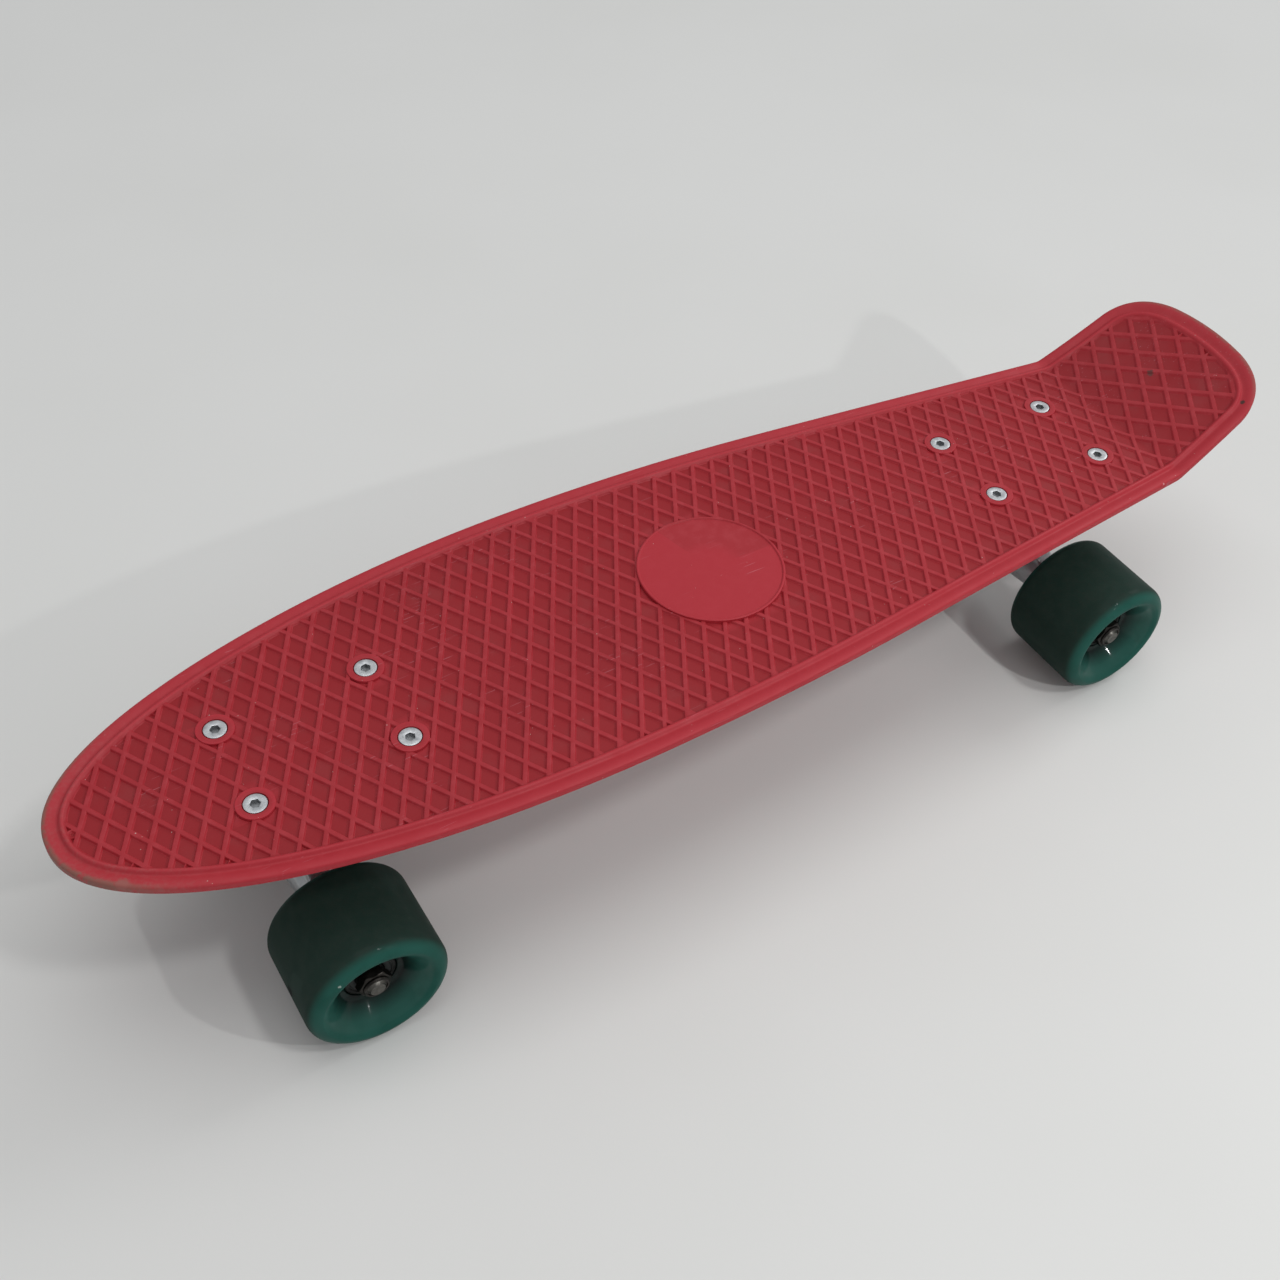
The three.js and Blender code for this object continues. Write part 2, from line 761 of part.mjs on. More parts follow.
// Wheel: rounded lips, a dish on each face that steepens at its shoulder, and two bearing seats
function wheel() {
  const halfWidth = wheelWidth / 2;
  const seatEnd = bearingSpacing / 2 - seatGap;
  const dishFloor = bearingSpacing / 2 + bearingWidth + seatGap;
  const seat = bearingRadius + seatGap;
  const half = [[coreHole, seatEnd], [seat, seatEnd], [seat, dishFloor], [dishFloorRadius, dishFloor]];
  half.push([dishShoulderRadius, halfWidth - dishShoulderDepth]);
  for (let step = 0; step <= lipSteps; step += 1) {
    const turn = (step / lipSteps) * (Math.PI / 2);
    const out = wheelRadius - lipRadius + lipRadius * Math.sin(turn);
    half.push([Math.max(out, dishRadius), halfWidth - lipRadius + lipRadius * Math.cos(turn)]);
  }
  const other = half.map(([radius, height]) => [radius, -height]).reverse();
  return turned([...other, ...half, other[0]].reverse(), wheelSides);
}

// Outer ring and shields of one bearing
function bearing() {
  return tube(bearingBore, bearingRadius, -bearingWidth / 2, bearingWidth / 2, roundSides);
}

// What the axle nut clamps in a wheel: inner rings, spacer and speed washers
function bearingCore() {
  const bore = axleRadius + seatGap;
  const ringEnd = coreHalf - speedWasher;
  const spacerEnd = bearingSpacing / 2;
  const waist = coreRadius - speedWasher;
  return turned([
    [bore, -coreHalf],
    [waist, -coreHalf],
    [waist, -ringEnd],
    [coreRadius, -ringEnd],
    [coreRadius, -spacerEnd],
    [waist, -spacerEnd],
    [waist, spacerEnd],
    [coreRadius, spacerEnd],
    [coreRadius, ringEnd],
    [waist, ringEnd],
    [waist, coreHalf],
    [bore, coreHalf],
    [bore, -coreHalf],
  ], smallSides);
}

// One wheel with its bearings, core and nut, about the truck's axle
function wheelSet(name, hand) {
  const set = new THREE.Group();
  const middle = new THREE.Vector3(axlePlace.x, hand * wheelAt, axlePlace.z);
  set.position.copy(middle);
  set.rotation.x = (-hand * Math.PI) / 2;
  set.add(piece(`${name}_wheel`, wheel(), 'wheel'));
  set.add(piece(`${name}_bearing_core`, bearingCore(), 'steel'));
  for (const [place, sign] of [['outer', 1], ['inner', -1]]) {
    const ring = piece(`${name}_${place}_bearing`, bearing(), 'dark');
    ring.position.z = (sign * (bearingSpacing + bearingWidth)) / 2;
    set.add(ring);
  }
  const nut = lockNut(axleNutAcross, axleNutHeight - nutChamfer, nutChamfer, axleRadius + seatGap);
  const nutMesh = piece(`${name}_axle_nut`, nut, 'steel');
  nutMesh.rotation.x = Math.PI;
  nutMesh.position.z = axleNutAt - wheelAt;
  set.add(nutMesh);
  return set;
}

function truck(name, side) {
  const group = new THREE.Group();
  group.position.set((side * wheelbase) / 2, 0, padHeight);
  group.rotation.z = side < 0 ? Math.PI : 0;
  group.add(piece(`${name}_baseplate`, baseplate(), 'truck'));
  group.add(piece(`${name}_pivot_cup`, pivotCup(), 'dark'));
  group.add(piece(`${name}_hanger`, hanger(), 'truck'));
  group.add(piece(`${name}_kingpin`, kingpin(), 'steel'));
  group.add(piece(`${name}_board_bushing`, boardBushingBody(), 'bushing'));
  group.add(piece(`${name}_road_bushing`, roadBushingBody(), 'bushing'));
  group.add(piece(`${name}_board_cup_washer`, cupWasher(-boardWasherAt, bushingRadius, -1), 'steel'));
  group.add(piece(`${name}_road_cup_washer`, cupWasher(roadWasherAt, bushingTip, 1), 'steel'));
  group.add(piece(`${name}_kingpin_nut`, kingpinNut(), 'steel'));
  group.add(piece(`${name}_axle`, axle(), 'steel'));
  for (const hand of [-1, 1]) {
    const worldHand = hand * side < 0 ? 'left' : 'right';
    group.add(wheelSet(`${name}_${worldHand}`, hand));
  }
  return group;
}

const board = new THREE.Group();
board.add(piece('deck', deck(), 'deck'));
for (const [name, side] of [['front', -1], ['rear', 1]]) {
  for (const place of screwPlaces(side)) {
    const screw = piece(`${name}_screw_${place.name}`, deckScrew(bossTop(place.x)), 'steel');
    screw.position.set(place.x, place.y, 0);
    const nutBody = lockNut(screwNutAcross, screwNutHeight, screwNutCollar, screwRadius + seatGap);
    const nut = piece(`${name}_lock_nut_${place.name}`, nutBody, 'steel');
    nut.position.set(place.x, place.y, padHeight - plateThickness - seatGap);
    board.add(screw, nut);
  }
  board.add(truck(name, side));
}

// The origin stands on the floor under the middle of the board's length
const bounds = new THREE.Box3().setFromObject(board);
board.position.x = -(bounds.min.x + bounds.max.x) / 2;
const skateboard = new THREE.Group();
skateboard.add(board);

export default skateboard;
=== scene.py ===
"""Cruiser skateboard: the looks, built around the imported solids.

The scene is in metres, and the sizes written here are in millimetres."""

import math

import bmesh
import bpy
from mathutils import Matrix, Vector


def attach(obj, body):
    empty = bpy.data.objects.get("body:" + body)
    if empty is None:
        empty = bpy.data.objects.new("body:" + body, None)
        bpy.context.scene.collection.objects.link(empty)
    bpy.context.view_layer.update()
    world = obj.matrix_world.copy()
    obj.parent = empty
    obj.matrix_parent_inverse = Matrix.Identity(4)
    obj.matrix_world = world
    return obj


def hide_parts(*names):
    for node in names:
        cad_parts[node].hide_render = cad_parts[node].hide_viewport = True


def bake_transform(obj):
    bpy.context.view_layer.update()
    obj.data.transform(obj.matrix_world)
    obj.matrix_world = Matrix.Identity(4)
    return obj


bl_info = {
    "name": "Cruiser skateboard",
    "version": (1, 0, 0),
    "blender": (4, 5, 0),
    "location": "View3D > Sidebar > Skateboard",
    "description": "Builds a moulded cruiser skateboard around its packed solids",
    "category": "Add Mesh",
}

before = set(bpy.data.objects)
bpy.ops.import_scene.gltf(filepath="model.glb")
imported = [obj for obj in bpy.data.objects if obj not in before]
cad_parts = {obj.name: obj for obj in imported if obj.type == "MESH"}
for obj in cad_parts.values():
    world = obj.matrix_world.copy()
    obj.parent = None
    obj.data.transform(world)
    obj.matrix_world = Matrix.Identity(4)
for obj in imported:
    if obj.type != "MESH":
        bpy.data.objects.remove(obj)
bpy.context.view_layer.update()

MM = 0.001

# Stance: the board's own middle, between the trucks, lies this far from the frame's origin
BOARD_SHIFT = -5.9
WHEELBASE = 361.0
PAD_HEIGHT = 85.5
DECK_HEIGHT = 97.8
WHEEL_RADIUS = 30.0
SIDES = {"front": -1, "rear": 1}
HANDS = {"left": -1, "right": 1}

# Deck outline in plan
HALF_WIDTH = 74.7
WIDEST_X = -62.0
NOSE_REACH = 222.8
NOSE_POWER = 2.15
FLANK_END_X = 66.14
WAIST_HALF = 51.0
KICK_X = 236.0
KICK_LENGTH = 60.6
TAIL_HALF = 48.0
CORNER_SHARES = ((0.62, 1.0), (0.77, 0.98), (0.923, 0.84), (0.974, 0.46))
NOSE_STEPS = 64
FLANK_STEPS = 30
STRAIGHT_STEPS = 40
SIDE_STEPS = 9
CORNER_STEPS = 20
BOW_STEPS = 8

# Deck section
CAMBER = 2.8
KICK_ANGLE = math.radians(25.2)
KICK_BEND = 4.0
KICK_SWEEP_RADIUS = 380.0
BEND_CUTS = (0.0, 1.0, 2.0, 3.0, 4.0, *range(10, 60, 7))
LOW_CUT_STEP = 12
LIP_TOP_START = -1.3
LIP_LOW_START = -3.2
DECK_SHARP_ANGLE = 38
# Steps in from the edge, each [distance from the edge, height, edge wear, which also sets the rim's
# painted sheen]
TOP_STEPS = (
    (0.15, -0.6, 1.0), (0.45, -0.25, 1.0), (0.9, -0.02, 0.95), (1.6, 0.12, 0.8),
    (2.5, 0.12, 0.6), (3.5, -0.05, 0.4), (4.5, -0.32, 0.35), (5.3, -0.5, 0.35),
    (5.8, -0.48, 0.35), (6.2, -0.2, 0.4), (6.55, 0.3, 0.5), (6.95, 0.66, 0.6),
    (7.4, 0.82, 0.65), (7.9, 0.78, 0.6), (8.3, 0.45, 0.3), (8.7, -0.05, 0.0),
)
LOW_STEPS = (
    (0.3, -3.55, 1.0), (0.9, -3.75, 0.7), (1.6, -3.8, 0.3), (6.6, -3.8, 0.0),
    (7.0, -4.2, 0.0), (7.2, -10.1, 0.0), (7.6, -10.5, 0.0), (9.4, -10.5, 0.0),
    (9.8, -10.1, 0.0), (10.0, -5.0, 0.0), (10.5, -4.5, 0.0),
)

# Waffle relief: where its ribs cross, and the cell wall's steps, each [width, share of the depth]
CROSS_X = -64.11
CROSS_STEP_X = 5.205
CROSS_STEP_Y = 8.985
# Ribs past the ends of the board's middle line, which slant back over it
SPARE_RIBS = 12
WALL_STEPS = ((0.3, 0.17), (0.22, 0.43), (0.2, 0.3), (0.18, 0.1))
# A cell needs this much room for its wall, or for a thinner one
CELL_ROOM = 1.15
SMALL_CELL_ROOM = 0.6
# Corners closer than this become one, before the walls and along them
LEAST_EDGE = 0.55
WALL_EDGE = 0.25
SHARP_TIP = math.radians(42)
TIP_WIDTH = 2.1
# While the sheet is cut, a face's material index says what it is
RIB, CELL, SMALL_CELL = 0, 1, 2

# Underside ribs and truck pads
RIB_LOW = -8.9
RIB_HIGH = -3.5
RIB_WIDE = 2.4
RIB_PITCH = 42.0
SPINE_Y = 20.0
SPINE_STEPS = 120
SKIRT_MID = 8.5
PAD_SIZE = (92, 66, 9)
PAD_CORNER = 10
PAD_EDGE = 0.6

# Places on the deck
MEDALLION_X = 4.0
SCREW_LONG = 63.5
SCREW_WIDE = 41.3
SCREW_SINK = 0.2
BOSS_RISE = 0.3
PLATE_THICKNESS = 7.0
SEAT_GAP = 0.3

# Deck screws; the nuts are each [across flats, height, collar's height, bore]
SCREW_RADIUS = 2.4
SCREW_HEAD = 4.65
SCREW_THREAD = 8
SCREW_PAST_SEAT = 7.2
SOCKET_ACROSS = 3.8
SOCKET_DEPTH = 2.2
DECK_NUT = (9.5, 4.8, 1.2, 2.45)
KINGPIN_NUT = (14.3, 6.8, 1.2, 4.8)
AXLE_NUT = (12.7, 4.1, 1.2, 4.05)

# Truck's own frame: +X outward along the board, origin on the deck's pad
PIVOT = Vector((26.0, 0.0, -14.0))
RING = Vector((-14.0, 0.0, -37.0))
AXLE = Vector((13.2, 0.0, WHEEL_RADIUS - PAD_HEIGHT))
KINGPIN_TILT = math.radians(22)
KINGPIN_AXIS = Vector((-math.sin(KINGPIN_TILT), 0.0, -math.cos(KINGPIN_TILT)))
# Castings, each [grain of the new skin, rounds of easing]
CASTINGS = {"baseplate": (0.7, 4), "hanger": (0.7, 7)}

# Along the kingpin from the ring's middle; the road end is positive
KINGPIN_RADIUS = 4.75
KINGPIN_HEAD = (-35.92, -30.42)
KINGPIN_HEAD_ACROSS = 14.3
KINGPIN_THREAD = 13.0
KINGPIN_END = 25.0
KINGPIN_NUT_SEAT = 15.2
BORE = 5.3
# Where each bushing would start to follow the hanger, and where it would follow it wholly; nothing
# bends them
SQUEEZED = {"barrel_bushing": (-16.5, -3.2), "cone_bushing": (12.6, 3.2)}

# Axles, bearings and wheels
AXLE_RADIUS = 4.0
AXLE_HALF = 76.2
AXLE_THREAD = 66.0
AXLE_NUT_AT = 70.0
WHEEL_AT = 56.9
BEARING_AT = 8.5
SEAL_RADIUS = 9.2
WHEEL_LIP = 6.0
# Wheel's face from its bore to the lip, each [radius, distance from the wheel's middle]
WHEEL_FACE = (
    (8.6, 4.7), (11.1, 4.7), (11.3, 4.9), (11.3, 12.1), (11.5, 12.3), (13.2, 12.3),
    (13.7, 12.5), (14.1, 12.95), (15.8, 15.15), (17.5, 17.35), (18.9, 19.1), (20.2, 20.55),
    (21.5, 21.75), (22.7, 22.65), (23.7, 23.2), (24.5, 23.45),
)
# The dish's grease and its painted shade round the hub end at this radius and fade over the next
# value; its gloss ends at the last
HUB_GREASE_AND_SHADE_RADIUS = 18.8
HUB_GREASE_AND_SHADE_FADE = 4.4
GLOSS_RADIUS = 22.5

# Marks of use on the deck, each [centre, reach, colour]: two dark rubs, a pale scrape and a
# smear at the kick, and a scuff at the nose
DECK_MARKS = (
    ((259.1, 3.5, 110.6), 2.6, "63302D"), ((273.1, -41.5, 118.3), 1.7, "4A2B28"),
    ((219.9, -52.2, 96.7), 1.1, "D9AEB2"), ((223.0, -55.0, 94.5), 5.0, "A8505C"),
    ((-272.0, -30.5, 95.6), 3.6, "94544E"),
)
# The same on the near front wheel: a nick on its tread drawn as the dark shade inside it, a smear
# on its tread, and a chip on its lip
WHEEL_MARKS = (
    ((-229.5, -61.1, 32.2), 3.4, "070A09"), ((-227.6, -65.0, 40.7), 7.0, "2A3A34"),
    ((-215.3, -80.3, 50.8), 1.0, "93A39B"),
)

# Stage, in metres and watts: lamps, each [name, place, size, power], and the camera
LAMPS = (
    ("ceiling_lamp", (0.0, 0.2, 2.6), 1.8, 14),
    ("room_lamp", (0.55, -1.2, 2.2), 0.25, 10),
    ("window", (3.4, 0.4, 2.5), 1.5, 34),
    ("bench_lamp", (0.28, -0.7, 0.6), 0.022, 1.4),
)
LAMP_TARGET = Vector((0.0, 0.0, 0.06))
WORLD_COLOUR = "F2F4F6"
WORLD_STRENGTH = 0.5
FLOOR_REACH = 6.0
CAMERA_PLACE = (-0.2962, -0.38436, 0.56188)
CAMERA_TURN = (43.454, -2.5157, -31.4069)
CAMERA_ANGLE = 45.024
CAMERA_SENSOR = 36


# Values that a user would change

class SkateDeckSizes(bpy.types.PropertyGroup):
    rib_width: bpy.props.FloatProperty(
        name="Rib width", description="Flat top of the waffle's ribs", default=0.0012,
        unit="LENGTH")
    relief_depth: bpy.props.FloatProperty(
        name="Relief depth", description="Depth of the waffle's cells", default=0.001,
        unit="LENGTH")
    medallion_radius: bpy.props.FloatProperty(
        name="Medallion radius", description="Round place in the deck's middle", default=0.0323,
        unit="LENGTH")


class SkateWheelSizes(bpy.types.PropertyGroup):
    radius: bpy.props.FloatProperty(
        name="Radius", description="Wheel's radius on its tread", default=0.03, unit="LENGTH")
    width: bpy.props.FloatProperty(
        name="Width", description="Wheel's width over its faces", default=0.047, unit="LENGTH")


class SkateFinishes(bpy.types.PropertyGroup):
    deck: bpy.props.StringProperty(
        name="Deck", description="Moulded plastic, as an sRGB hex colour", default="9E1E28")
    # Cell floor colour: partly dust, partly painted shade in the cells' recesses
    cell_floor_dust_and_shade: bpy.props.StringProperty(
        name="Deck cells", description="Floor of the waffle's cells", default="8F141D")
    wheel: bpy.props.StringProperty(name="Wheel", description="Cast urethane", default="26544B")
    # Tread colour: darker than the face, partly from dust and wear and partly as painted shade
    tread: bpy.props.StringProperty(
        name="Wheel tread", description="Worn rolling surface", default="23342E")
    casting: bpy.props.StringProperty(
        name="Truck casting", description="Tumbled cast aluminium", default="B4B6B8")
    floor: bpy.props.StringProperty(name="Floor", description="Pale studio floor", default="DADAD8")


# Colour and nodes

SMOOTH = {"interpolation_type": "SMOOTHSTEP"}
PRODUCT = {"operation": "MULTIPLY", "use_clamp": True}
# Grease and painted shade round the hub
PRODUCT_PLUS = {"operation": "MULTIPLY_ADD", "use_clamp": True}


def linear(code):
    """An sRGB hex colour as linear red, green, blue and alpha."""
    parts = [int(code[i:i + 2], 16) / 255 for i in (0, 2, 4)]
    return [*((c / 12.92 if c <= 0.04045 else ((c + 0.055) / 1.055) ** 2.4) for c in parts), 1.0]


def add(tree, kind, inputs=(), output=0, **settings):
    """Adds one node with its settings and links, and gives one of its outputs.

    The inputs are by name or in the node's order, each a constant, a hex colour, or an output
    to link from."""
    made = tree.nodes.new(kind)
    for name, value in settings.items():
        setattr(made, name, value)
    for name, value in inputs.items() if isinstance(inputs, dict) else enumerate(inputs):
        if isinstance(value, bpy.types.NodeSocket):
            tree.links.new(value, made.inputs[name])
        else:
            made.inputs[name].default_value = linear(value) if isinstance(value, str) else value
    return made.outputs[output] if made.outputs else None


def finish_named(name, roughness, metallic=0.0, **sockets):
    """A new material, its tree, and the shader that holds the plain values."""
    material = bpy.data.materials.new(name)
    material.use_nodes = True
    tree = material.node_tree
    tree.nodes.clear()
    surface = add(tree, "ShaderNodeBsdfPrincipled", {
        "Roughness": roughness, "Metallic": metallic, **sockets})
    add(tree, "ShaderNodeOutputMaterial", {"Surface": surface})
    return material, tree, surface.node


def place_of(tree, stretch=(1.0, 1.0, 1.0)):
    """The piece's own coordinates, stretched along its axes."""
    place = add(tree, "ShaderNodeTexCoord", output="Object")
    return add(tree, "ShaderNodeMapping", {"Vector": place, "Scale": stretch})


def patches(tree, place, size_mm, detail, low, high, start=0.0, end=1.0, roughness=0.55):
    """Ragged patches about size_mm across. They go from start to end as their noise goes from
    low to high."""
    noise = add(tree, "ShaderNodeTexNoise", {
        "Vector": place, "Scale": 1 / (size_mm * MM), "Detail": detail, "Roughness": roughness})
    return add(tree, "ShaderNodeMapRange", (noise, low, high, start, end), **SMOOTH)


def overlay(tree, base, colour, *amounts):
    """Lays a colour over the base, as strongly as the amounts multiplied."""
    amount, *others = amounts
    for other in others:
        amount = add(tree, "ShaderNodeMath", (amount, other), **PRODUCT)
    return add(tree, "ShaderNodeMix", {"Factor": amount, 6: base, 7: colour}, 2, data_type="RGBA")


def layered(tree, place, base, layers):
    """Lays colours over the base in patches, each [colour, values of its patches, amounts]."""
    for colour, values, *amounts in layers:
        base = overlay(tree, base, colour, *amounts, patches(tree, place, *values))
    return base


def mark(tree, place, base, centre, reach_mm, colour):
    """Lays a ragged spot of a colour over the base, out to about reach_mm from its centre."""
    reach = reach_mm * MM
    centre = [value * MM for value in centre]
    away = add(tree, "ShaderNodeVectorMath", (place, centre), "Value", operation="DISTANCE")
    noise = add(tree, "ShaderNodeTexNoise", {
        "Vector": place, "Scale": 2 / reach, "Detail": 3, "Roughness": 0.55})
    ragged = add(tree, "ShaderNodeMath", (noise, reach, away), **PRODUCT_PLUS)
    spot = add(tree, "ShaderNodeMapRange", (ragged, reach * 1.35, reach * 0.95), **SMOOTH)
    return overlay(tree, base, colour, spot)


def pebbled(tree, shader, place, grain_mm, detail, depth_mm, where=None):
    """Gives a surface a pebbled skin. Its grains, about grain_mm across, are drawn a few times as
    coarse as a moulded, cast or plated skin's, so that they show."""
    height = add(tree, "ShaderNodeTexNoise", {
        "Vector": place, "Scale": 1 / (grain_mm * MM), "Detail": detail, "Roughness": 0.55})
    if where:
        height = add(tree, "ShaderNodeMath", (where, height), **PRODUCT)
    normal = add(tree, "ShaderNodeBump", {
        "Height": height, "Strength": 1.0, "Distance": depth_mm * MM})
    tree.links.new(normal, shader.inputs["Normal"])


# Materials

def moulded_polypropylene():
    """Injection-moulded polypropylene: even deep colour and a waxy half-gloss, paler where it is
    rubbed and grey where it is scraped, with painted shade in its cells and painted sheen on its
    rim."""
    colours = bpy.context.scene.skate_finishes
    material, tree, shader = finish_named(
        "moulded_polypropylene", 0.5, **{"IOR": 1.49, "Specular IOR Level": 0.36})
    place = place_of(tree)
    edge, cell = (
        add(tree, "ShaderNodeAttribute", output="Fac", attribute_name=name)
        for name in ("edge", "cell"))
    bare = add(tree, "ShaderNodeMath", (1.0, cell), operation="SUBTRACT")
    # The cell floors are darker than the ribs: partly dust, partly painted shade in the recesses
    base = overlay(tree, colours.deck, colours.cell_floor_dust_and_shade, cell)
    base = layered(tree, place, base, (
        # Cloudy tint of a used moulding, in patches of about 70 mm
        ("87141D", (70, 3, 0.35, 0.7, 0.0, 0.4)),
        # Dust that stays in the cells, in patches of about 20 mm
        ("7A4A48", (20, 4, 0.5, 0.72, 0.0, 0.12), cell),
        # Tops of the ribs go a little paler where they are rubbed
        ("C4525A", (5, 5, 0.4, 0.7, 0.03, 0.16), bare),
    ))
    # The rim and the ridge are paler: partly wear from handling, partly painted sheen
    handled_and_sheen = add(tree, "ShaderNodeMapRange", (edge, 0.1, 0.5, 0.0, 0.75), **SMOOTH)
    base = overlay(tree, base, "AB2531", handled_and_sheen)
    # Scratches lie along the board, each a fraction of a millimetre wide
    scratches = patches(tree, place_of(tree, (0.03, 1.0, 1.0)), 0.7, 2, 0.67, 0.72, 0.0, 0.35)
    # Both ends of the board, and the very tips of its lip, are worn
    along = add(tree, "ShaderNodeSeparateXYZ", (place,))
    nose, nose_tip, tail = (
        add(tree, "ShaderNodeMapRange", (along, *span), **SMOOTH)
        for span in ((-0.225, -0.275), (-0.252, -0.28), (0.27, 0.29)))
    ends = add(tree, "ShaderNodeMath", (tail, 0.35, nose), **PRODUCT_PLUS)
    tips = add(tree, "ShaderNodeMath", (tail, 0.8, nose_tip), **PRODUCT_PLUS)
    lip = add(tree, "ShaderNodeMapRange", (edge, 0.62, 0.97), **SMOOTH)
    base = layered(tree, place, base, (
        ("C9808A", (35, 2, 0.5, 0.62), scratches),
        # Pale specks of grit, drawn as coarse as a millimetre so that they show
        ("D8C8C0", (1.1, 1, 0.8, 0.83, 0.0, 0.7)),
        # Scuffed ridge and scraped lip, with dirt ground in
        ("96635F", (1.6, 4, 0.4, 0.7, 0.1, 0.42), ends, edge),
        ("7C5A4E", (3, 6, 0.36, 0.5, 0.0, 0.8, 0.7), tips, lip),
    ))
    for spot in DECK_MARKS:
        base = mark(tree, place, base, *spot)
    tree.links.new(base, shader.inputs["Base Color"])
    gloss = patches(tree, place, 12, 4, 0.3, 0.75, 0.48, 0.64)
    tree.links.new(gloss, shader.inputs["Roughness"])
    pebbled(tree, shader, place, 0.7, 2, 0.03)
    return material


def cast_urethane():
    """Cast urethane: deep even colour that light enters a little, a glossy dish with grease and
    painted shade round its hub, and a dull, dusty rolling surface whose darker colour is partly
    painted shade."""
    colours = bpy.context.scene.skate_finishes
    material, tree, shader = finish_named("cast_urethane", 0.35, **{
        "IOR": 1.5, "Specular IOR Level": 0.03, "Coat Roughness": 0.06, "Subsurface Weight": 0.12,
        "Subsurface Radius": (0.2, 1.0, 0.75), "Subsurface Scale": 0.003})
    place = place_of(tree)
    around = add(tree, "ShaderNodeUVMap", uv_map="wheel")
    tread, hub, dish = (
        add(tree, "ShaderNodeAttribute", output="Fac", attribute_name=name)
        for name in ("tread", "hub", "dish"))
    # Tread darker than the face, partly dust and partly painted shade, and a face whose tint is a
    # little cloudy
    tread_dust_and_shade = layered(tree, around, colours.tread, [("2E3A34", (6, 5, 0.35, 0.7, 0.0, 0.35))])
    face = layered(tree, place, colours.wheel, [("103B32", (14, 3, 0.35, 0.7, 0.0, 0.3))])
    base = overlay(tree, face, tread_dust_and_shade, tread)
    # Black grease and dust that the bearings leave on the dish, and painted shade in the dish's
    # deep middle round the hub
    base = layered(tree, place, base, [("0B1110", (9, 4, 0.25, 0.7, 1.0, 0.8), hub)])
    # Chips in the tread, under two millimetres across
    base = layered(tree, around, base, [("6F7A72", (1.6, 3, 0.74, 0.78, 0.0, 0.6), tread)])
    for spot in WHEEL_MARKS:
        base = mark(tree, place, base, *spot)
    tree.links.new(base, shader.inputs["Base Color"])
    # The dish keeps its moulded gloss; the lips and the tread have lost it
    coat = add(tree, "ShaderNodeMapRange", (dish, 0.0, 1.0, 0.04, 0.3), **SMOOTH)
    tree.links.new(coat, shader.inputs["Coat Weight"])
    rough = add(tree, "ShaderNodeMix", {"Factor": tread, 2: 0.35, 3: 0.6})
    tree.links.new(rough, shader.inputs["Roughness"])
    pebbled(tree, shader, around, 0.9, 4, 0.05, tread)
    return material


def patchy_finish(name, roughness, base, layers, grains, gloss=None, **sockets):
    """A finish of one colour with others over it in patches, and a pebbled skin. Gloss holds the
    values of the roughness's own patches."""
    material, tree, shader = finish_named(name, roughness, **sockets)
    place = place_of(tree)
    tree.links.new(layered(tree, place, base, layers), shader.inputs["Base Color"])
    if gloss:
        tree.links.new(patches(tree, place, *gloss), shader.inputs["Roughness"])
    pebbled(tree, shader, place, *grains)
    return material


def tumbled_casting():
    """Tumbled cast aluminium: dull silver with a fine pebbled skin and darker patches a few
    millimetres across.
    """
    layers = [
        ("A2A4A6", (9, 3, 0.3, 0.72, 0.0, 0.5)), ("6C6A66", (2.2, 5, 0.6, 0.76, 0.0, 0.25))]
    return patchy_finish(
        "tumbled_cast_aluminium", 0.42, bpy.context.scene.skate_finishes.casting, layers,
        (0.8, 3, 0.06), (3, 3, 0.3, 0.7, 0.36, 0.55), metallic=1.0)


def plated_steel(name, fresh, dull, roughness):
    """Zinc-plated steel: slightly milky metal with duller smears a few millimetres across."""
    gloss = (0.9, 3, 0.3, 0.7, roughness - 0.06, roughness + 0.12)
    smears = (dull, (2.4, 4, 0.38, 0.7))
    return patchy_finish(name, roughness, fresh, [smears], (0.35, 2, 0.01), gloss, metallic=1.0)


def soft_black(name, code, dusty, roughness, grain_mm):
    """Black rubber, urethane or acetal: near black, with a thin film of dust that lifts it."""
    film = (dusty, (grain_mm, 5, 0.4, 0.72, 0.0, 0.6))
    return patchy_finish(name, roughness, code, [film], (grain_mm / 4, 3, 0.02), IOR=1.5)


def studio_floor():
    """Matt painted board: pale, with a barely uneven skin."""
    tint = ("D4D4D1", (300, 3, 0.35, 0.7, 0.0, 0.4))
    colour = bpy.context.scene.skate_finishes.floor
    return patchy_finish("painted_floor", 0.85, colour, [tint], (3, 3, 0.03), IOR=1.4)


# Each finish's maker and values
FINISHES = {
    "deck": (moulded_polypropylene,),
    "wheel": (cast_urethane,),
    "casting": (tumbled_casting,),
    # Bright heads, sockets drawn darker than the heads as painted shade, dull hardware under the
    # deck, and dark axle nuts
    "screw": (plated_steel, "bright_zinc_plated_steel", "D2D4D6", "BCBFC2", 0.44),
    "socket": (plated_steel, "socket_zinc_with_painted_shade", "A6A8AA", "8E9092", 0.5),
    "steel": (plated_steel, "dull_zinc_plated_steel", "6C6A65", "53504C", 0.44),
    "black_nut": (plated_steel, "blackened_steel", "3E3B38", "2A2826", 0.45),
    # Bearing rings are ground steel, filmed with dark grease
    "race": (plated_steel, "ground_bearing_steel", "3A3A39", "242322", 0.5),
    # Rubber is dullest, acetal is smoothest, and nylon is greyed by dust
    "seal": (soft_black, "moulded_nitrile_rubber", "101112", "2A2A29", 0.45, 3),
    "bushing": (soft_black, "cast_black_urethane", "18191B", "2C2C2C", 0.5, 5),
    "cup": (soft_black, "moulded_black_acetal", "141415", "242424", 0.4, 4),
    "nylon": (soft_black, "moulded_nylon", "3A3935", "4A4843", 0.5, 2),
    "floor": (studio_floor,),
}
MATERIALS = {}


def finish_of(name):
    """The finish's material, made when it is first asked for."""
    if name not in MATERIALS:
        maker, *values = FINISHES[name]
        MATERIALS[name] = maker(*values)
    return MATERIALS[name]


# Shapes

